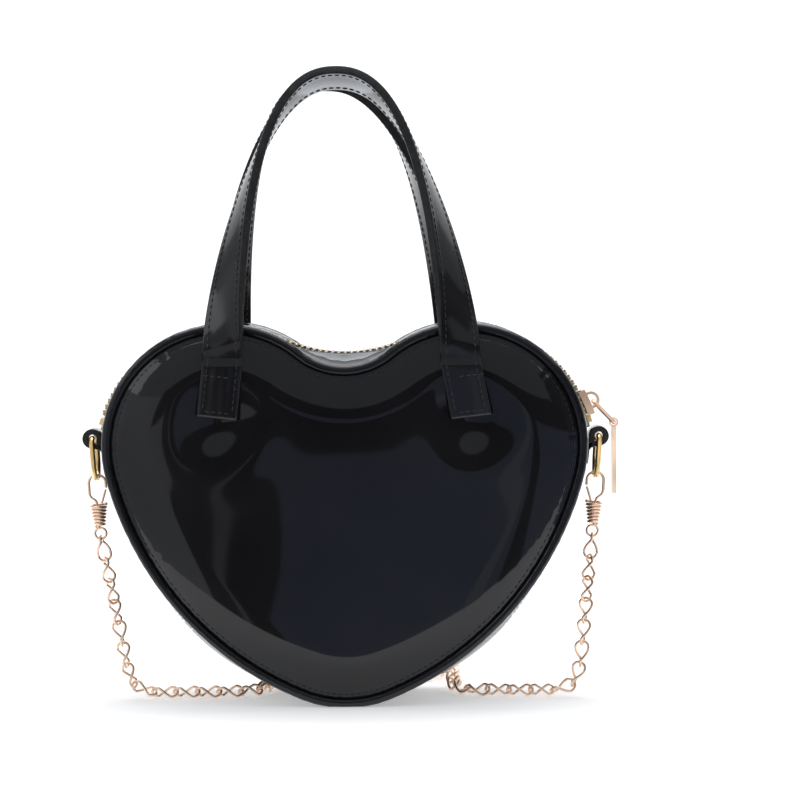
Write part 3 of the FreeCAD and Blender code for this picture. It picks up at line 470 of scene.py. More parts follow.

# %% [markdown]
# The chain is cut into five pieces, because its ends move: at each side the last links and the
# links below them are pieces of their own, and the rest, which lies still, goes with the bag. A
# chain of rigid bodies could be simulated instead, but here its rest pose is known. It is limp.

# %% Chain pieces
END_LINKS, LYING_LINKS = 5, 2
drop_links = len(HANG_TURNS)
low_links = drop_links + LYING_LINKS


def chain_piece(name, first, last):
    points, faces = [], []
    for n in range(first, last):
        faces += shifted(one_faces, len(points) * len(one_link))
        points.append(place_link(n))
    piece = new_piece(name, np.concatenate(points), faces, [rose_gold])
    return piece


chain_floor = chain_piece("chain_floor", low_links, link_count - low_links)
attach(chain_floor, "bag")
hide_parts("chain_left_run", "chain_coil", "chain_right_run")
for n, (word, side) in enumerate((("left", -1), ("right", 1))):
    links = [link_count - k if n else k for k in (0, END_LINKS, low_links)]
    hung = chain_piece("chain_end_" + word, *sorted(links[:2]))
    drop = chain_piece("chain_drop_" + word, *sorted(links[1:]))
    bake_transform(hung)
    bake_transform(drop)
    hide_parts("chain_%s_drop" % word)

# %% [markdown]
# Everything sewn on this purse follows one heart. It is six arcs that run smoothly into each other:
# two lobes, the notch between them, two long sides and the tip. Each sample keeps its arc, so a
# point at any distance inside or outside the seam is exact, with no gaps in the corners. The zip
# has a line of its own, lower and with a wider notch.

# %% Heart outline
LOBE_R, TIP_R, SIDE_R, NOTCH_R = 43.0, 42.0, 115.0, 23.5
BAG_WIDTH, SEAM_TOP, FLAT = 170.0, 134.4, 0.6
TAB_ANGLE, ZIP_SINK, ZIP_NOTCH_R, ZIP_START = 7.3, 5.5, 84.0, 14.08
lobe_x, lobe_z = BAG_WIDTH / 2 - LOBE_R, SEAM_TOP - LOBE_R
tip_z = TIP_R - FLAT
span = math.hypot(lobe_x, lobe_z - tip_z)
along = ((SIDE_R - TIP_R) ** 2 - (SIDE_R - LOBE_R) ** 2 + span ** 2) / (2 * span)
across = math.sqrt((SIDE_R - TIP_R) ** 2 - along ** 2)
side_x = lobe_x / span * along - (lobe_z - tip_z) / span * across
side_z = tip_z + (lobe_z - tip_z) / span * along + lobe_x / span * across
tip_angle = math.degrees(math.atan2(tip_z - side_z, -side_x))
side_angle = math.degrees(math.atan2(lobe_z - side_z, lobe_x - side_x))


def lobes_and_notch(centre_z, notch_r, start):
    """Three arcs over the lobes: centre, radius, sign (-1 hollow), first and last angle."""
    notch_z = centre_z + math.sqrt((notch_r + LOBE_R) ** 2 - lobe_x ** 2)
    meet = math.degrees(math.atan2(notch_z - centre_z, -lobe_x))
    return [(lobe_x, centre_z, LOBE_R, 1, start, meet),
            (0, notch_z, notch_r, -1, meet - 180, -meet),
            (-lobe_x, centre_z, LOBE_R, 1, 180 - meet, 180 - start)]


TOP = lobes_and_notch(lobe_z, NOTCH_R, TAB_ANGLE)
ZIP = lobes_and_notch(lobe_z - ZIP_SINK, ZIP_NOTCH_R, ZIP_START)
LOW = [(-lobe_x, lobe_z, LOBE_R, 1, 180 - TAB_ANGLE, 180 - side_angle),
       (-side_x, side_z, SIDE_R, 1, 180 - side_angle, 180 - tip_angle),
       (0, tip_z, TIP_R, 1, 180 - tip_angle, 360 + tip_angle),
       (side_x, side_z, SIDE_R, 1, tip_angle, side_angle),
       (lobe_x, lobe_z, LOBE_R, 1, side_angle, TAB_ANGLE)]


def arc_length(arc, d=0.0):
    return (arc[2] + arc[3] * d) * math.radians(abs(arc[5] - arc[4]))


def whole_length(arcs, d=0.0):
    return sum(arc_length(a, d) for a in arcs)


class SeamLine:
    """Samples on heart arcs: which arc each lies on and how far along it."""

    def __init__(self, arcs, which, share, run):
        table = np.array(arcs)[which]
        self.cx, self.cz, self.r, self.sign, first, last = table.T
        self.angle = np.radians(first + (last - first) * share)
        self.which, self.share, self.run = which, share, run
        self.out = self.sign[:, None] * np.stack((np.cos(self.angle), 0 * share,
                                                  np.sin(self.angle)), 1)

    def at(self, d, y):
        """Points at an outward offset and a depth."""
        reach = self.r + self.sign * d
        return np.stack((self.cx + reach * np.cos(self.angle), 0 * self.angle + y,
                         self.cz + reach * np.sin(self.angle)), 1)


def seam_line(arcs, runs, d=0.0):
    """Samples at lengths from the start, measured at an offset."""
    lengths = np.array([arc_length(a, d) for a in arcs])
    ends = np.cumsum(lengths)
    which = np.clip(np.searchsorted(ends, runs, side="left"), 0, len(arcs) - 1)
    share = (runs - (ends - lengths)[which]) / lengths[which]
    return SeamLine(arcs, which, share, np.asarray(runs, float))


top_length, low_length, seam_length = [whole_length(arcs) for arcs in (TOP, LOW, TOP + LOW)]
print("heart seam", round(seam_length, 1), "mm, zip line", round(whole_length(ZIP), 1), "mm")

# %% [markdown]
# Stitches are separate little threads, thick in the middle and tucked in at both ends. They could
# be painted on as a texture, but then they would not catch the light. One stitch is a short
# six-sided spindle; a row of them follows a line on a surface.

# %% Stitch helpers
STITCH_SHAPE = ((-0.5, 0.30, -0.35), (-0.36, 0.85, 0.0), (0.0, 1.0, 0.12),
                (0.36, 0.85, 0.0), (0.5, 0.30, -0.35))
STITCH_SIDES, NUDGE = 6, 0.05


def stitch_row(centres, ways, ups, length, radius):
    """Points and faces of a row of stitches lying on a surface."""
    points, faces = [], []
    for centre, way, rise in zip(centres, unit(ways), unit(ups)):
        sideways = np.cross(way, rise)
        rings = []
        for along_share, thick, lift in STITCH_SHAPE:
            middle = centre + way * (length * along_share) + rise * (radius * lift)
            rings.append([middle + radius * thick * (math.cos(a) * sideways + math.sin(a) * rise)
                          for a in full_turn(STITCH_SIDES)])
        faces += capped(rings, len(points))
        points += [p for ring in rings for p in ring]
    return points, faces


def sewn_row(row, pitch, length, radius):
    """Stitches at an even pitch along a row of places and outward directions."""
    run = run_along(row)
    count = max(1, round(run[-1] / pitch))
    at = (np.arange(count) + 0.5) * run[-1] / count
    spots = places(row, run, at)
    ways = places(row, run, at + NUDGE) - places(row, run, at - NUDGE)
    return stitch_row(spots[:, :3], ways[:, :3], spots[:, 3:], length, radius)


def sew(points, faces, picks, row, pitch, length, radius):
    """Add a row of stitches to a piece in the making, as its third material."""
    sewn, sewn_faces = sewn_row(row, pitch, length, radius)
    faces += shifted(sewn_faces, len(points))
    points += sewn
    picks += [2] * len(sewn_faces)


print("stitch of", len(STITCH_SHAPE), "rings")

# %% [markdown]
# The panels are foam under patent. Their mesh is rows that follow the seam near the edge and an
# even grid in the middle, because a mirror finish shows every pinched face. The grid is a patch
# stretched between the four quarters of the innermost row, then relaxed so that its lines run
# smoothly. Its outermost points are those of that row.

# %% Panel grid
PIPE_R, EDGE_Y = 1.7, 22.4
GRID, ROWS, RELAX_STEPS = 88, 18, 20
TUCK, INNER, ROW_SPREAD = 2.5, 18.5, 1.15
corner_run = arc_length(TOP[0]) + arc_length(TOP[1]) / 2 - seam_length / 8
ring_runs = (corner_run + np.arange(4 * GRID) * seam_length / (4 * GRID)) % seam_length
panel_line = seam_line(TOP + LOW, ring_runs)
depths = TUCK + (INNER - TUCK) * np.linspace(0, 1, ROWS) ** ROW_SPREAD
rows = [panel_line.at(-d, 0.0)[:, (0, 2)] for d in depths]
edge = rows[-1]
k = np.arange(GRID + 1)
side_top, side_left = edge[k][::-1], edge[GRID + k][::-1]
side_low, side_right = edge[2 * GRID + k], edge[(3 * GRID + k) % (4 * GRID)]
u, v = np.meshgrid(k / GRID, k / GRID, indexing="ij")
u, v = u[..., None], v[..., None]
patch = ((1 - v) * side_low[:, None] + v * side_top[:, None] + (1 - u) * side_left[None]
         + u * side_right[None] - (1 - u) * (1 - v) * side_low[0] - u * (1 - v) * side_low[-1]
         - (1 - u) * v * side_top[0] - u * v * side_top[-1])
for step in range(RELAX_STEPS):
    patch[1:-1, 1:-1] = (patch[:-2, 1:-1] + patch[2:, 1:-1]
                         + patch[1:-1, :-2] + patch[1:-1, 2:]) / 4
flat_points = np.concatenate(rows + [patch[1:-1, 1:-1].reshape(-1, 2)])
rim = (ROWS - 1) * 4 * GRID
index = np.empty((GRID + 1, GRID + 1), int)
index[1:-1, 1:-1] = ROWS * 4 * GRID + np.arange((GRID - 1) ** 2).reshape(GRID - 1, -1)
index[k, -1], index[0, k] = rim + GRID - k, rim + 2 * GRID - k
index[k, 0], index[-1, k] = rim + 2 * GRID + k, rim + (3 * GRID + k) % (4 * GRID)
panel_faces = skin(rows) + quads(index)
print("panel grid", len(flat_points), "points")

# %% [markdown]
# A panel climbs steeply from its seam, then runs into a broad, low crown. The sewn strap ends hold
# it down, so a hollow lies under each of them with a low swelling round it, and it dips below the
# notch. Slow waves and fine gathers at the stitch line make it leather. All of these are added up
# to one height, from the distance to the seam, which is read from a dense copy of the outline. A
# cloth simulation is the usual way for padding, but heights are easier to place as they are seen.

# %% Panel height
CROWN, CROWN_WIDTH, CROWN_BEND, CROWN_START = 5.3, 17.0, 2.2, 0.4
SWELL, SWELL_Z, SWELL_WIDE, SWELL_TALL = 0.9, 66.0, 85.0, 70.0
HOLLOW_X, HOLLOW_Z, HOLLOW_SQUASH, OVAL, CORNERED = 44.4, 100.0, 0.86, 0.07, 0.05
HOLLOW_DEPTH, HOLLOW_R, LIP_RISE, LIP_R, LIP_WIDTH = 2.3, 9.0, 0.35, 17.5, 6.0
DIP, DIP_Z, DIP_R, DIP_SQUASH = 3.0, 124.0, 32.0, 0.8
WAVES, LONGEST, SHORTEST, WAVE_RISE, WAVE_START = 7, 95.0, 34.0, 0.34, 10.0
GATHER_COUNTS, GATHER_RISE, GATHER_WIDTH = (68, 91, 113, 147), 0.10, 3.2
STITCH_D, GROOVE, GROOVE_WIDTH = 4.9, 0.22, 0.7
TUCK_DEPTH, TUCK_WIDTH = 0.9, 0.5
ANY_PHASE, DENSE_STEPS = 6.28, 2400
dense = seam_line(TOP + LOW, np.linspace(0, seam_length, DENSE_STEPS, endpoint=False))
dense_points = dense.at(0, 0)[:, (0, 2)]


def bell(gap, width):
    return np.exp(-(gap / width) ** 2)


def seam_distance(points):
    """Distance inside the seam and the run of the nearest seam point."""
    far, near = [], []
    for part in np.array_split(points, 40):
        gaps = np.linalg.norm(part[:, None] - dense_points[None], axis=2)
        best = gaps.argmin(1)
        far.append(gaps[np.arange(len(part)), best])
        near.append(dense.run[best])
    return np.concatenate(far), np.concatenate(near)


def slow_waves(points, seed):
    """Sum of a few slow waves in chance directions."""
    draw = np.random.default_rng(seed)
    total = np.zeros(len(points))
    for n in range(WAVES):
        length = draw.uniform(SHORTEST, LONGEST)
        turn, phase = draw.uniform(0, math.pi), draw.uniform(0, ANY_PHASE)
        travel = points @ np.array((math.cos(turn), math.sin(turn)))
        total += math.sqrt(length / LONGEST) * np.sin(2 * math.pi * travel / length + phase)
    return total / WAVES


def gathers(run, seed):
    """Uneven small waves along a seam."""
    draw = np.random.default_rng(seed)
    total = np.zeros(len(run))
    for count in GATHER_COUNTS:
        total += np.sin(2 * math.pi * count * run / seam_length + draw.uniform(0, ANY_PHASE))
    return total / 3


def panel_rise(points, seed):
    """How far the panel stands out of the seam plane."""
    x, z = points.T
    inside, run = seam_distance(points)
    s = np.clip(inside - TUCK - CROWN_START, 0, None)
    t = np.clip(s / CROWN_WIDTH, 0, 1)
    rise = CROWN * (1 - (1 - t) ** CROWN_BEND)
    ease = t * t * (3 - 2 * t)
    rise += SWELL * (1 - (x / SWELL_WIDE) ** 2 - ((z - SWELL_Z) / SWELL_TALL) ** 2) * ease
    for side in (-1, 1):
        off_x, off_z = x - side * HOLLOW_X, z - HOLLOW_Z
        around = np.arctan2(off_z, off_x)
        oval, cornered = np.sin(2 * around + seed + side), np.sin(3 * around + seed)
        reach = np.hypot(off_x, off_z * HOLLOW_SQUASH) * (1 + OVAL * oval + CORNERED * cornered)
        rise += LIP_RISE * bell(reach - LIP_R, LIP_WIDTH) - HOLLOW_DEPTH * bell(reach, HOLLOW_R)
    rise -= DIP * bell(np.hypot(x * DIP_SQUASH, z - DIP_Z), DIP_R) * t
    rise += WAVE_RISE * slow_waves(points, seed) * np.clip(s / WAVE_START, 0, 1)
    rise += GATHER_RISE * gathers(run, seed + 1) * bell(inside - STITCH_D, GATHER_WIDTH)
    rise -= GROOVE * bell(inside - STITCH_D, GROOVE_WIDTH)
    return rise - TUCK_DEPTH * np.clip((TUCK + TUCK_WIDTH - inside) / TUCK_WIDTH, 0, 1)


print("hollows", HOLLOW_DEPTH, "mm deep at", HOLLOW_X, HOLLOW_Z)

# %% [markdown]
# Each panel is a shell: patent outside, lining inside and a rim between them. Both come from the
# same grid, with other waves.

# %% Panels
SHELL = 1.2
PANEL_STITCHES, PANEL_STITCH, PANEL_THREAD = 200, 1.55, 0.20
STITCH_LIFT, STITCH_LEAN = 0.10, 0.5


def make_panel(word, side, seed):
    """Padded panel and its stitches; side is -1 for the front and 1 for the back."""
    name = "panel_" + word
    rise = panel_rise(flat_points, seed)
    outer = np.stack((flat_points[:, 0], side * (EDGE_Y + rise), flat_points[:, 1]), 1)
    inner = outer - np.array((0, side * SHELL, 0))
    count, rim = len(outer), 4 * GRID
    faces = panel_faces + shifted([f[::-1] for f in panel_faces], count)
    faces += [(j, (j + 1) % rim, count + (j + 1) % rim, count + j) for j in range(rim)]
    picks = [0] * len(panel_faces) + [1] * len(panel_faces) + [0] * rim
    piece = new_piece(name, np.concatenate((outer, inner)), faces, [patent, lining_cloth], picks)
    dress(piece, "bag", (word + "_panel", word + "_padding", "lining_" + word))
    line = seam_line(TOP + LOW, (np.arange(PANEL_STITCHES) + 0.5) * seam_length / PANEL_STITCHES)
    foot = line.at(-STITCH_D, 0)
    foot[:, 1] = side * (EDGE_Y + panel_rise(foot[:, (0, 2)], seed) + STITCH_LIFT)
    tangent = np.stack((-line.out[:, 2], 0 * line.run, line.out[:, 0]), 1)
    lifts = np.tile((0.0, side, 0.0), (len(foot), 1)) + STITCH_LEAN * line.out
    points, faces = stitch_row(foot, tangent, lifts, PANEL_STITCH, PANEL_THREAD)
    dress(new_piece(name + "_stitches", points, faces, [thread]), "bag")
    print(name, "stands out", round(rise.max(), 2), "mm,", len(foot), "stitches")


make_panel("front", -1, 11)
make_panel("back", 1, 23)

# %% [markdown]
# A welt of patent over cord runs along both seams. It is a round tube whose thickness wavers a
# little, pressed flat where the purse stands. The flat comes from lifting each low point to the
# floor.

# %% Welts
WELT_STEPS, WELT_SIDES, WELT_WAVER = 620, 14, 0.05


def make_welt(word, side, seed):
    line = seam_line(TOP + LOW, np.arange(WELT_STEPS) * seam_length / WELT_STEPS)
    thick = PIPE_R + WELT_WAVER * gathers(line.run, seed)
    rings = np.stack([line.at(thick * math.cos(a) - PIPE_R, side * EDGE_Y + thick * math.sin(a))
                      for a in full_turn(WELT_SIDES)], 1)
    rings[..., 2] = np.maximum(rings[..., 2], 0.0)
    piece = new_piece("welt_" + word, rings.reshape(-1, 3), skin(rings, along=True), [patent])
    dress(piece, "bag", (word + "_piping",))
    print(piece.name, len(rings), "rings")


make_welt("front", -1, 31)
make_welt("rear", 1, 37)

# %% [markdown]
# The gusset joins the two panels. Below the side tabs it is one band, full at the sides and drawn
# in by its seams, so it puckers and ruffles along both edges. It is a cross-section carried along
# the heart: an outer row of points in patent, an inner one in lining, and painted ends.

# %% Lower gusset
GUSSET_D, GUSSET_HALF, LEATHER, INNER_GAP = -0.35, 20.7, 1.2, 0.2
SIDE_FULL, FULL_START, FULL_SPAN, EVEN_FULL, PUCKER = 3.9, 0.08, 0.70, 0.30, 0.30
RUFFLE, RUFFLE_PITCH, RUFFLE_AT, RUFFLE_WIDTH = 0.16, 1.9, 0.86, 0.13
OUTER_ROWS, INNER_ROWS, LOW_STEPS = 29, 9, 780
band_finish = [patent, lining_cloth, edge_paint]


def section_picks(kinds, rings, cap):
    """Material of each face by its place in the section, and one for both caps."""
    return list(kinds) * (len(rings) - 1) + [cap, cap]


def band_piece(name, rings, materials, replaced, kinds=None):
    """Closed sections joined to a band with capped ends, kept above the floor."""
    rings[..., 2] = np.maximum(rings[..., 2], 0.0)
    picks = section_picks(kinds, rings, 2) if kinds else None
    piece = new_piece(name, rings.reshape(-1, 3), capped(rings), materials, picks)
    dress(piece, "bag", replaced)
    print(name, len(rings), "sections of", rings.shape[1], "points")


low_line = seam_line(LOW, np.linspace(0, low_length, LOW_STEPS))
pucker = gathers(low_line.run, 41)
from_tip = np.abs(2 * low_line.run / low_length - 1)
fullness = SIDE_FULL * np.clip(np.sin(math.pi * np.clip((from_tip - FULL_START) / FULL_SPAN, 0, 1)),
                               0, 1)
ruffle = RUFFLE * np.sin(2 * math.pi * low_line.run / RUFFLE_PITCH + 1.5 * pucker)
sections = []
for t in np.linspace(-1, 1, OUTER_ROWS):
    bulge = (EVEN_FULL + fullness) * (1 - t * t) - EVEN_FULL * t ** 10
    wave = PUCKER * abs(t) ** 3 * pucker + ruffle * bell(abs(t) - RUFFLE_AT, RUFFLE_WIDTH)
    sections.append(low_line.at(GUSSET_D, GUSSET_HALF * t) + low_line.out * (bulge + wave)[:, None])
for t in np.linspace(1, -1, INNER_ROWS):
    sections.append(low_line.at(GUSSET_D - LEATHER, (GUSSET_HALF - INNER_GAP) * t))
band_piece("gusset_lower", np.stack(sections, 1), band_finish,
           ("lower_gusset", "lining_gusset"), [0] * OUTER_ROWS + [1] * INNER_ROWS)

# %% [markdown]
# Above the side tabs two strips climb from the welts to the zip, each folded under and stitched
# along it. They sag between seam and zip, sink in the notch where nothing holds them up, and sink
# a little at both ends, where the closure goes under the tabs.

# %% Top strips
ZIP_HALF, HEM_HALF, STRIP_D, STRIP_THICK = 5.0, 9.6, 4.2, 0.9
HEM_STITCH, HEM_GROOVE, GROOVE_HALF, HEM_STEP = 6.7, 0.16, 0.45, 0.10
STRIP_SAG, STRIP_GATHER, FOLD, TOP_STEPS = 2.0, 0.09, 0.3, 380
NOTCH_SAG, SAG_REACH = 2.4, 33.0
END_SINK, SINK_START, SINK_REACH = 1.3, 12.0, 30.0
HEM_PITCH, HEM_LENGTH, HEM_THREAD = 2.3, 1.6, 0.19
top_line = seam_line(TOP, np.linspace(0, top_length, TOP_STEPS))
zip_line = SeamLine(ZIP, top_line.which, top_line.share, top_line.run)


def zip_sag(run, length):
    """How far the closure sags in the notch between the lobes."""
    return NOTCH_SAG * np.clip(1 - ((run - length / 2) / SAG_REACH) ** 2, 0, 1) ** 2


end_gap = np.minimum(top_line.run, top_length - top_line.run)
sink = END_SINK * np.clip(1 - (end_gap - SINK_START) / SINK_REACH, 0, 1)
sink += zip_sag(top_line.run, top_length)


def strip_row(side, y, lift, pucker):
    """Row of a top strip: sagging between the seam and the hem, level on the hem."""
    t = min((GUSSET_HALF - y) / (GUSSET_HALF - HEM_HALF), 1.0)
    low = top_line.at(GUSSET_D + lift, side * y)
    high = zip_line.at(STRIP_D + lift, side * y)
    out = unit(top_line.out * (1 - t) + zip_line.out * t)
    climb = t ** STRIP_SAG
    gather = STRIP_GATHER * pucker * (0.3 + 0.7 * math.sin(math.pi * t)) - sink * climb
    return low * (1 - climb) + high * climb + out * gather[:, None]


outer_depths = np.concatenate((np.linspace(GUSSET_HALF, HEM_HALF, 14)[:-1],
                               np.linspace(HEM_HALF, ZIP_HALF, 12)))
inner_depths = np.concatenate((np.linspace(ZIP_HALF, HEM_HALF, 6)[:-1],
                               np.linspace(HEM_HALF, GUSSET_HALF, 8)))
for side, word in ((-1, "front"), (1, "rear")):
    pucker = gathers(top_line.run, 47 + side)
    sections = []
    for y in outer_depths:
        lift = HEM_STEP * (y < HEM_STITCH) - HEM_GROOVE * bell(y - HEM_STITCH, GROOVE_HALF)
        sections.append(strip_row(side, y, lift, pucker))
    sections.append(strip_row(side, ZIP_HALF - FOLD, -STRIP_THICK / 2, pucker))
    sections += [strip_row(side, y, -STRIP_THICK, pucker) for y in inner_depths]
    band_piece("gusset_top_" + word, np.stack(sections, 1), band_finish,
               ("top_gusset_" + word, "lining_top_" + word),
               [0] * (len(outer_depths) + 1) + [1] * len(inner_depths))
    row = np.hstack((strip_row(side, HEM_STITCH, 0.05, pucker), zip_line.out))
    points, faces = sewn_row(row, HEM_PITCH, HEM_LENGTH, HEM_THREAD)
    dress(new_piece("gusset_top_%s_stitches" % word, points, faces, [thread]), "bag")

# %% [markdown]
# The zip has two woven tapes whose edges carry metal teeth. Each tooth is a small block that clamps
# the tape and narrows to a rounded head between the teeth of the other row. Making one bevelled
# tooth and setting it along the heart keeps them all alike, as stamped teeth are. Tapes and teeth
# sag in the notch together with the strips.

# %% Zip tapes and teeth
TAPE, TAPE_BACK, TAPE_EDGE, TAPE_ROUND, TAPE_INNER = 0.8, 9.0, 1.2, 0.4, 1.8
TAPE_GAP, RIB = 0.05, 0.12
ZIP_RISE, TOOTH_PITCH, TOOTH_THICK, TOOTH_HEIGHT, END_SPACE = 4.7, 2.2, 0.9, 3.2, 4.0
TOOTH_RIMS = ((-0.5, 0.24), (-0.30, 0.0), (0.30, 0.0), (0.5, 0.24))
tape_top = STRIP_D - STRIP_THICK
tape_mid = tape_top - TAPE / 2
tape_section = [(tape_top - TAPE_GAP, TAPE_BACK)]
tape_section += [(tape_top - TAPE_GAP + RIB * (n % 2), y)
                 for n, y in enumerate(np.linspace(ZIP_HALF, TAPE_INNER, 13))]
tape_section += [(tape_mid + TAPE / 2 * math.cos(a), TAPE_EDGE + TAPE_ROUND * (1 - math.sin(a)))
                 for a in np.linspace(0, math.pi, 6)]
tape_section.append((tape_top - TAPE, TAPE_BACK))
for side, word in ((-1, "front"), (1, "rear")):
    sections = [zip_line.at(d, side * y) - zip_line.out * sink[:, None] for d, y in tape_section]
    band_piece("zip_tape_band_" + word, np.stack(sections, 1), [tape_cloth],
               ("zip_tape_" + word,))


def one_tooth():
    """Tooth as rings of (depth, height) outlines across its thickness, with bevelled rims."""
    top, foot = ZIP_RISE - tape_mid, ZIP_RISE - TOOTH_HEIGHT - tape_mid
    outline = np.array([(-2.9, top - 0.2), (-2.65, top), (-1.3, top), (0.2, top - 0.25),
                        (0.85, top - 0.75), (0.85, foot + 0.75), (0.2, foot + 0.25),
                        (-1.3, foot), (-2.65, foot), (-2.9, foot + 0.2)])
    inward = unit(outline.mean(0) - outline)
    rings = [np.column_stack((np.full(len(outline), x * TOOTH_THICK), outline + inward * shrink))
             for x, shrink in TOOTH_RIMS]
    return np.concatenate(rings), capped(rings)


tooth_points, tooth_faces = one_tooth()
tooth_run = whole_length(ZIP, tape_mid)
tooth_count = int((tooth_run - 2 * END_SPACE) / (TOOTH_PITCH / 2))
tooth_line = seam_line(ZIP, END_SPACE + (np.arange(tooth_count) + 0.5) * TOOTH_PITCH / 2, tape_mid)
tooth_feet = tooth_line.at(tape_mid - zip_sag(tooth_line.run, tooth_run), 0.0)
for first, flip, word in ((1, 1, "front"), (0, -1, "rear")):
    points, faces = [], []
    for n in range(first, tooth_count, 2):
        out = tooth_line.out[n]
        axes = np.array((np.cross((0, 1, 0), out), (0, 1, 0), out))
        faces += shifted(tooth_faces, len(points) * len(tooth_points))
        points.append(tooth_points * (1, flip, 1) @ axes + tooth_feet[n])
    piece = new_piece("zip_teeth_row_" + word, np.concatenate(points), faces, [tooth_metal],
                      smooth=False)
    dress(piece, "bag", ("zip_teeth_" + word,))
    print(piece.name, len(points), "teeth")

# %% [markdown]
# Each handle is one strap of two layers of patent with painted edges. It lies flat where it is sewn
# to the panel, pressed into the hollow there, and turns edge-on over the arch. The arch leans to
# the left a little, the rear one more. A curve with a bevel could make it, but its twist is hard to
# steer, so the strap's line and axes are worked out along its left half and mirrored.

# %% Line of the handles
HINGE_X, HINGE_Z, HINGE_Y = 42.0, 120.5, -29.3
TAB_SPREAD, TAB_FOOT, PRESS = 44.2, 101.7, 1.7
RISE, LEAN, TWIST, EASE, TWIST_START = 99.8, 20.0, 100.5, 0.72, 0.05
ARCH_CLIMB, ARCH_FLANK, ARCH_ROUND, LEAN_BEND = 2.3, 1.5, 0.433, 1.25
SWAY, REAR_SWAY, RIGHT_SHIFT = 2.5, 6.0, 1.5
WAY_STEP = 0.01


def tab_press(height):
    """How far the sewn end is pressed into the hollow of its panel."""
    return PRESS * bell((height - HOLLOW_Z) * HOLLOW_SQUASH, HOLLOW_R)


def climb_at(q):
    """Share of the rise at a share of the arch's left half; 0 on the sewn end."""
    return 1 - (1 - max(q, 0)) ** ARCH_CLIMB


def arch_centre(q):
    climb = climb_at(q)
    return np.array((-HINGE_X * max(1 - climb ** ARCH_FLANK, 0) ** ARCH_ROUND,
                     HINGE_Y + LEAN * climb ** LEAN_BEND, HINGE_Z + RISE * climb))


def sewn_axes(share):
    """Centre, width direction and outward direction from the foot to the hinge."""
    height = TAB_FOOT + (HINGE_Z - TAB_FOOT) * share
    centre = np.array((-TAB_SPREAD + (TAB_SPREAD - HINGE_X) * share,
                       HINGE_Y + tab_press(height), height))
    slant = unit((TAB_SPREAD - HINGE_X, 0, HINGE_Z - TAB_FOOT))
    way = slant * (1 - share) + np.array((0, 0, 1.0)) * share
    outward = np.array((0, -1.0, 0))
    return centre, unit(np.cross(outward, way)), outward


def arch_axes(q):
    """The same from the hinge to the top of the arch, with the twist."""
    way = np.array((1.0, 0, 0))
    if q < 1:
        way = unit(arch_centre(min(q + WAY_STEP, 1)) - arch_centre(max(q - WAY_STEP, 0)))
    tilt = math.atan(LEAN / RISE)
    level = unit(np.cross((0, -math.cos(tilt), math.sin(tilt)), way))
    outward = np.cross(level, way)
    climb = climb_at(q)
    turn = math.radians(TWIST) * climb ** EASE * (1 - math.exp(-climb / TWIST_START))
    return (arch_centre(q), level * math.cos(turn) + outward * math.sin(turn),
            outward * math.cos(turn) - level * math.sin(turn))


def strap_frames(sideways):
    """Centres and axes along the whole strap, from its left end to its right end."""
    shares = np.concatenate((np.linspace(-1, 0, 15)[:-1], np.linspace(0, 1, 57)))
    left = [(q, climb_at(q), sewn_axes(1 + q) if q <= 0 else arch_axes(q)) for q in shares]
    flip = np.array((-1.0, 1.0, 1.0))
    frames = []
    for q, climb, (centre, level, outward) in left:
        frames.append((centre - np.array((sideways * climb, 0, 0)), level, outward))
    for q, climb, (centre, level, outward) in left[-2::-1]:
        shift = sideways * climb + RIGHT_SHIFT * (1 - climb) * min(q + 1, 1)
        frames.append((centre * flip - np.array((shift, 0, 0)), level * flip, outward * flip))
    return [np.array(part) for part in zip(*frames)]


print("arch", RISE, "mm above its hinge")

# %% [markdown]
# The strap itself is a rounded section set square to that line: patent on both faces, slightly
# padded between two rows of stitches, and paint on the edges. It is one piece from end to end,
# left in place where it is built.

# %% Handle straps
STRAP_W, STRAP_T, STRAP_ROUND, EDGE_SHARE = 14.0, 3.0, 0.55, 0.6
SEAM_X, PAD_X, PAD_RISE, SEAM_DIP = 4.9, 3.0, 0.16, 0.10
STRAP_PITCH, STRAP_STITCH, STRAP_THREAD, STITCH_IN = 2.4, 1.65, 0.19, 1.9
SEAM_LIFT, BAR_LIFT, BAR_HEIGHTS, BAR_POINTS, BAR_IN = 0.04, 0.10, (2.0, 14.5), 8, 0.6
CORNERS = ((1, 1, 0), (-1, 1, 90), (-1, -1, 180), (1, -1, 270))


def corner(sx, sy, start, half, thick, radius, count):
    """Points of one rounded corner of a section, as (across, out), and their angles."""
    turns = [math.radians(a) for a in np.linspace(start, start + 90, count)]
    return [(sx * (half - radius) + radius * math.cos(a),
             sy * (thick - radius) + radius * math.sin(a)) for a in turns], turns


def strap_section():
    """Rounded section as (across, out) with a material for each side."""
    section, kinds = [], []
    for sx, sy, start in CORNERS:
        points, turns = corner(sx, sy, start, STRAP_W / 2, STRAP_T / 2, STRAP_ROUND, 5)
        section += points
        kinds += [1 if abs(math.cos(a)) > EDGE_SHARE else 0 for a in turns]
        if start in (0, 180):
            for x in (SEAM_X, PAD_X, 0.0, -PAD_X, -SEAM_X):
                crown = PAD_RISE * (1 - (x / SEAM_X) ** 2) - SEAM_DIP * (abs(x) == SEAM_X)
                section.append((sx * x, sy * (STRAP_T / 2 + crown)))
                kinds.append(0)
    return np.array(section), kinds


strap_outline, strap_kinds = strap_section()


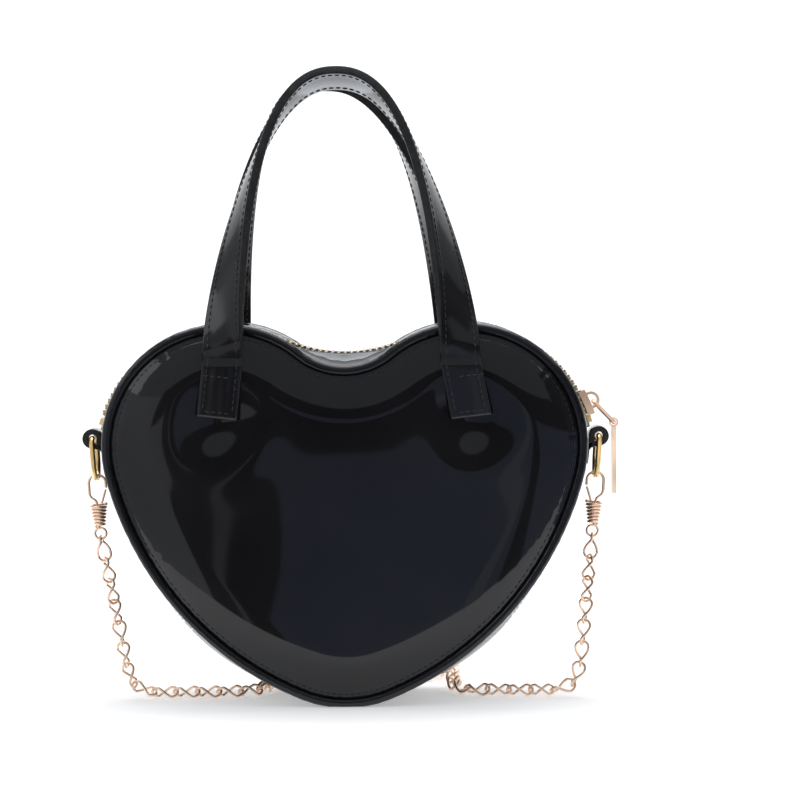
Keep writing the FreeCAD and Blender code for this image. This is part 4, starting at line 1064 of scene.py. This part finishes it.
def make_strap(word, mirror, sideways):
    centres, levels, outs = [part * np.array(mirror, float) for part in strap_frames(sideways)]
    rings = (centres[:, None] + strap_outline[None, :, :1] * levels[:, None]
             + strap_outline[None, :, 1:] * outs[:, None])
    points, faces = list(rings.reshape(-1, 3)), capped(rings)
    picks = section_picks(strap_kinds, rings, 1)
    reach = STRAP_W / 2 - STITCH_IN
    seams = []
    for across in (-1, 1):
        for face in (-1, 1):
            line = centres + levels * across * reach + outs * face * (STRAP_T / 2 + SEAM_LIFT)
            seams.append((line[2:-2], outs[2:-2] * face))
    for end in (0, -1):
        for height in BAR_HEIGHTS:
            risen = tab_press(TAB_FOOT) - tab_press(TAB_FOOT + height)
            base = centres[end] + (0, 0, height) + outs[end] * (STRAP_T / 2 + BAR_LIFT + risen)
            bar = np.linspace(-1, 1, BAR_POINTS)[:, None] * levels[end] * (reach - BAR_IN)
            seams.append((base + bar, np.tile(outs[end], (BAR_POINTS, 1))))
    for line, rise in seams:
        sew(points, faces, picks, np.hstack((line, rise)), STRAP_PITCH, STRAP_STITCH, STRAP_THREAD)
    piece = new_piece("strap_" + word, points, faces, [strap_patent, edge_paint, thread], picks)
    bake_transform(piece)
    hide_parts(word + "_handle", word + "_handle_tab_left", word + "_handle_tab_right")
    print(piece.name, len(rings), "sections,", len(faces), "faces")


make_strap("front", (1, 1, 1), SWAY)
make_strap("rear", (1, -1, 1), REAR_SWAY)

# %% [markdown]
# At each side a short strap of patent is folded round the ring's bar and sewn to the gusset. Its
# line runs up the gusset, round the bar and back in behind itself.

# %% Side tabs
RING_X, RING_Z, LOOP_R, LOOP_THICK = 89.955, 93.489, 2.55, 2.0
SIDE_TAB, TAB_ROUND, SEWN_FROM, SEWN_TO = 12.0, 0.35, 17.3, 8.6
LOOP_START, LOOP_END, TAIL_STEPS, TAIL_DROP, SMOOTH_STEPS = -100, 208, (0.8, 1.0), 1.6, 3
TAB_PITCH, TAB_STITCH, TAB_THREAD, TAB_IN, SEWN_POINTS = 2.2, 1.6, 0.22, 1.6, 9
EDGE_SIDES = (0, 1, 7, 8, 9, 15)


def tab_line():
    """Line of the folded strap: up the gusset, out to the bar, round it and back in."""
    points = []
    reach = LOBE_R + GUSSET_D + LOOP_THICK / 2
    for a in np.radians(np.linspace(TAB_ANGLE - SEWN_FROM, TAB_ANGLE - SEWN_TO, 8)):
        points.append((lobe_x + reach * math.cos(a), 0, lobe_z + reach * math.sin(a)))
    for a in np.radians(np.linspace(LOOP_START, LOOP_END, 34)):
        points.append((RING_X + LOOP_R * math.cos(a), 0, RING_Z + LOOP_R * math.sin(a)))
    for tail in TAIL_STEPS:
        points.append((points[-1][0] - tail, 0, points[-1][2] - TAIL_DROP))
    smooth = np.array(points)
    for step in range(SMOOTH_STEPS):
        smooth[1:-1] = smooth[1:-1] * 0.6 + (smooth[:-2] + smooth[2:]) * 0.2
    return smooth


def make_side_tab(word, side):
    line, depth = tab_line(), np.array((0, 1.0, 0))
    outs = np.cross(unit(np.gradient(line, axis=0)), depth)
    half, thick = SIDE_TAB / 2, LOOP_THICK / 2
    outline = np.concatenate([corner(*place, half, thick, TAB_ROUND, 4)[0] for place in CORNERS])
    rings = line[:, None] + outline[None, :, :1] * depth + outline[None, :, 1:] * outs[:, None]
    points, faces = list(rings.reshape(-1, 3)), capped(rings)
    picks = section_picks([int(n in EDGE_SIDES) for n in range(len(outline))], rings, 1)
    sewn, sewn_outs = line[:SEWN_POINTS], outs[:SEWN_POINTS]
    for across in (-1, 1):
        row = np.hstack((sewn + depth * across * (half - TAB_IN) + sewn_outs * thick, sewn_outs))
        sew(points, faces, picks, row, TAB_PITCH, TAB_STITCH, TAB_THREAD)
    piece = new_piece("side_tab_strap_" + word, np.array(points) * (side, 1, 1), faces,
                      [patent, edge_paint, thread], picks)
    dress(piece, "bag", ("side_tab_" + word,))
    print(piece.name, len(line), "sections")


make_side_tab("right", 1)
make_side_tab("left", -1)

# %% [markdown]
# Rings, clasps and the slider have the right shapes already, so their solids stay and only take
# the plating. A narrow bevel on the pieces of the zip lets their rims catch light.

# %% Hardware
BEVEL, BEVEL_FROM = 0.00022, math.radians(40)
for name, node in nodes.items():
    if node.hide_render:
        continue
    node.data.materials.clear()
    node.data.materials.append(gold if name.startswith(("d_ring", "zip_stops")) else rose_gold)
    node.data.polygons.foreach_set("use_smooth", [True] * len(node.data.polygons))
    if name.startswith("zip"):
        bevel = node.modifiers.new("rim", "BEVEL")
        bevel.width = BEVEL
        bevel.segments = 2
        bevel.limit_method = "ANGLE"
        bevel.angle_limit = BEVEL_FROM
    print("kept", name)

# %% [markdown]
# The springs of the clasps are wound so tightly that no gap shows. One wire follows a cone: its
# radius grows with each turn, and the wire is about as thick as the pitch. Each winding leans as
# its clasp does.

# %% Clasp windings
WIND_LOW, WIND_HIGH, WIND_FOOT_R, WIND_TOP_R = 61.8, 69.7, 1.5, 2.65
WIND_TURNS, WIND_STEPS, WIND_WIRE, WIND_SIDES = 6.5, 156, 1.14, 10
HANG_LEAN = math.radians(3.5)
shares = np.linspace(0, 1, WIND_STEPS)
cone = WIND_FOOT_R + (WIND_TOP_R - WIND_FOOT_R) * shares
spin = 2 * math.pi * WIND_TURNS * shares
coil_x, coil_y = cone * np.cos(spin), cone * np.sin(spin)
below_ring = WIND_LOW + (WIND_HIGH - WIND_LOW) * shares - RING_Z
wire = np.column_stack((
    RING_X + coil_x * math.cos(HANG_LEAN) + below_ring * math.sin(HANG_LEAN), coil_y,
    RING_Z - coil_x * math.sin(HANG_LEAN) + below_ring * math.cos(HANG_LEAN)))
for side, word in ((1, "right"), (-1, "left")):
    rings = wire_rings(wire * (side, 1, 1), WIND_WIRE / 2, WIND_SIDES)
    piece = new_piece("winding_" + word, rings.reshape(-1, 3), capped(rings), [rose_gold])
    dress(piece, word + "_clasp", ("clasp_winding_" + word,))
    print(piece.name, len(rings), "rings")

# %% [markdown]
# A pale floor sweeps up behind, as a sheet of paper does in a studio. It glows faintly, which keeps
# the background even without a strong light on it. The patent mirrors it as the grey band along the
# lower edge.

# %% Floor
FLOOR_TONE, FLOOR_GLOW, FLOOR_DROP, FLOOR_HALF = 0.93, 0.36, 0.2, 2600.0
FLOOR_FRONT, SWEEP_Y, SWEEP_R, SWEEP_TOP = -1600.0, 1000.0, 500.0, 2200.0

paper, tree, shader, place = node_graph("pale_floor")
cloud = noise(tree, place, scale=3.0, detail=2.0)
plug(tree, shader, Base_Color=tints(tree, cloud, (FLOOR_TONE * 0.99,) * 3, (FLOOR_TONE,) * 3),
     Roughness=0.9, Specular_IOR_Level=0.0, Emission_Color=(1.0, 1.0, 1.0, 1.0),
     Emission_Strength=FLOOR_GLOW)
sweep = [(FLOOR_FRONT, 0.0), (SWEEP_Y, 0.0)]
sweep += [(SWEEP_Y + SWEEP_R * math.sin(a), SWEEP_R - SWEEP_R * math.cos(a))
          for a in np.linspace(0.1, math.pi / 2, 14)]
sweep.append((SWEEP_Y + SWEEP_R, SWEEP_TOP))
rows = np.array([[(x, y, z - FLOOR_DROP) for x in (-FLOOR_HALF, FLOOR_HALF)] for y, z in sweep])
floor = new_piece("floor", rows.reshape(-1, 3), skin(rows, around=False), [paper], closed=False)
floor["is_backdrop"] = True
print("floor of", len(rows), "rows")

# %% [markdown]
# Patent shows what stands round it, so the room is made of glowing cards that only reflections see.
# They are no lamps and light nothing: they are painted reflections. Leaning cards in front give the
# panels their blue middle, the brown reflection at the left and the stripes at the right; an arc of
# dusk gives the dark band at the height of the strap ends; cards above and on the floor behind give
# the bright reflections on the notch and the arch; two small ones beside the gold give it bright
# reflections. Lamps would do the same, but they would light the purse as well.

# %% Mirror cards
CARD_NEAR, CARD_FAR, CARD_TOP = -95.0, -300.0, 130.0
DUSK_R, DUSK_LOW, DUSK_HIGH, DUSK_STEP = 250, 105, 158, 12


def mirror_card(name, corners, low, high, grain=4.0):
    """Card that only shows in reflections: an even glow between two tints."""
    material, tree, shader, place = node_graph(name)
    tree.nodes.remove(shader)
    glow = tree.nodes.new("ShaderNodeEmission")
    plug(tree, glow, Color=tints(tree, noise(tree, place, grain, detail=1.0), low, high))
    plug(tree, tree.nodes["Material Output"], Surface=glow.outputs["Emission"])
    card = new_piece(name, corners, [(0, 1, 2, 3)], [material], closed=False)
    card.visible_camera = card.visible_diffuse = card.visible_shadow = False
    card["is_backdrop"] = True


# Painted reflections on the panels: glowing cards leaning in front, each between two tints.
for name, x0, x1, lift, low, high in (
        ("room_card", -31, 700, 0.0, (0.17, 0.20, 0.30), (0.24, 0.28, 0.40)),
        ("brown_card", -50, -31, 0.0, (0.010, 0.007, 0.005), (0.05, 0.03, 0.02)),
        ("cloth_card", -56, -50, 0.0, (0.25, 0.26, 0.28), (0.40, 0.40, 0.42)),
        ("shade_card", -83, -56, 0.0, (0.03, 0.03, 0.035), (0.10, 0.10, 0.12)),
        ("pale_card", 66, 84, 4.0, (0.30, 0.33, 0.40), (0.40, 0.43, 0.50)),
        ("dark_card", 98, 128, 4.0, (0.015, 0.015, 0.02), (0.04, 0.04, 0.05))):
    near, far = CARD_NEAR + lift, CARD_FAR + lift
    mirror_card(name, [(x0, near, 0), (x1, near, 0), (x1, far, CARD_TOP), (x0, far, CARD_TOP)],
                low, high)
for name, x, y0, y1, z, low, high in (
        ("sky_card", 450, -350, 120, 800, (2.2, 2.3, 2.5), (2.6, 2.7, 2.9)),
        ("arch_card", 260, 60, 420, 1, (2.6, 2.7, 2.9), (3.0, 3.1, 3.3)),
        ("softbox_card", 350, 120, 430, 750, (4.5, 4.7, 5.0), (5.0, 5.2, 5.5))):
    mirror_card(name, [(-x, y0, z), (x, y0, z), (x, y1, z), (-x, y1, z)], low, high)
for n, start in enumerate(range(-32, 64, DUSK_STEP)):
    turns = [math.radians(a) for a in (start, start + DUSK_STEP)]
    (x0, y0), (x1, y1) = [(DUSK_R * math.sin(a), -DUSK_R * math.cos(a)) for a in turns]
    corners = [(x0, y0, DUSK_LOW), (x1, y1, DUSK_LOW), (x1, y1, DUSK_HIGH), (x0, y0, DUSK_HIGH)]
    mirror_card("dusk_card_%d" % n, corners, (0.02, 0.015, 0.012), (0.06, 0.05, 0.045))
for side, word in ((1, "right"), (-1, "left")):
    corners = [(side * x, -15, z) for x, z in ((88, 52), (135, 52), (135, 128), (78, 128))]
    mirror_card("metal_card_" + word, corners, (0.35, 0.34, 0.33), (1.1, 1.1, 1.1), grain=60.0)
mirror_card("right_card", [(450, -60, 90), (450, -420, 90), (450, -420, 420), (450, -60, 420)],
            (0.03, 0.03, 0.04), (0.08, 0.08, 0.10))
mirror_card("left_card", [(-700, 60, 0), (-83, CARD_NEAR, 0), (-83, CARD_FAR, CARD_TOP),
                          (-700, 60, 400)], (0.45, 0.46, 0.50), (0.62, 0.63, 0.66))

# %% [markdown]
# The lamps are large and soft: one above, a wide one at the left, a narrow one at the right and a
# wash on the paper behind. A pale sky fills the shadows. The standard view keeps white paper white.

# %% Lights
for name, place, aim, width, height, power in (
        ("top_light", (0.0, 0.12, 1.2), (0.0, 0.0, 0.0), 1.0, 0.30, 5.5),
        ("left_wall", (-1.1, -0.45, 0.55), (0.0, 0.0, 0.12), 0.8, 1.0, 3.5),
        ("right_strip", (1.0, -0.35, 0.6), (0.0, 0.0, 0.12), 0.35, 1.0, 2.0),
        ("back_wash", (0.0, 0.5, 1.6), (0.0, 1.5, 0.4), 2.2, 0.6, 6.0)):
    lamp = bpy.data.lights.new(name, "AREA")
    lamp.shape = "RECTANGLE"
    lamp.size, lamp.size_y, lamp.energy = width, height, power
    light = add_object(name, lamp)
    light.location = place
    light.rotation_mode = "QUATERNION"
    light.rotation_quaternion = (Vector(aim) - Vector(place)).to_track_quat("-Z", "Y")
world = bpy.data.worlds.new("studio")
world.use_nodes = True
sky = world.node_tree.nodes["Background"]
plug(world.node_tree, sky, Color=(0.90, 0.94, 1.0, 1.0), Strength=0.4)
bpy.context.scene.world = world
bpy.context.scene.view_settings.view_transform = "Standard"
print("lights", len(bpy.data.lights))

# %% Size and finish
low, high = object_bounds()
print("dressed box", [round(v, 4) for v in (*low, *high)])
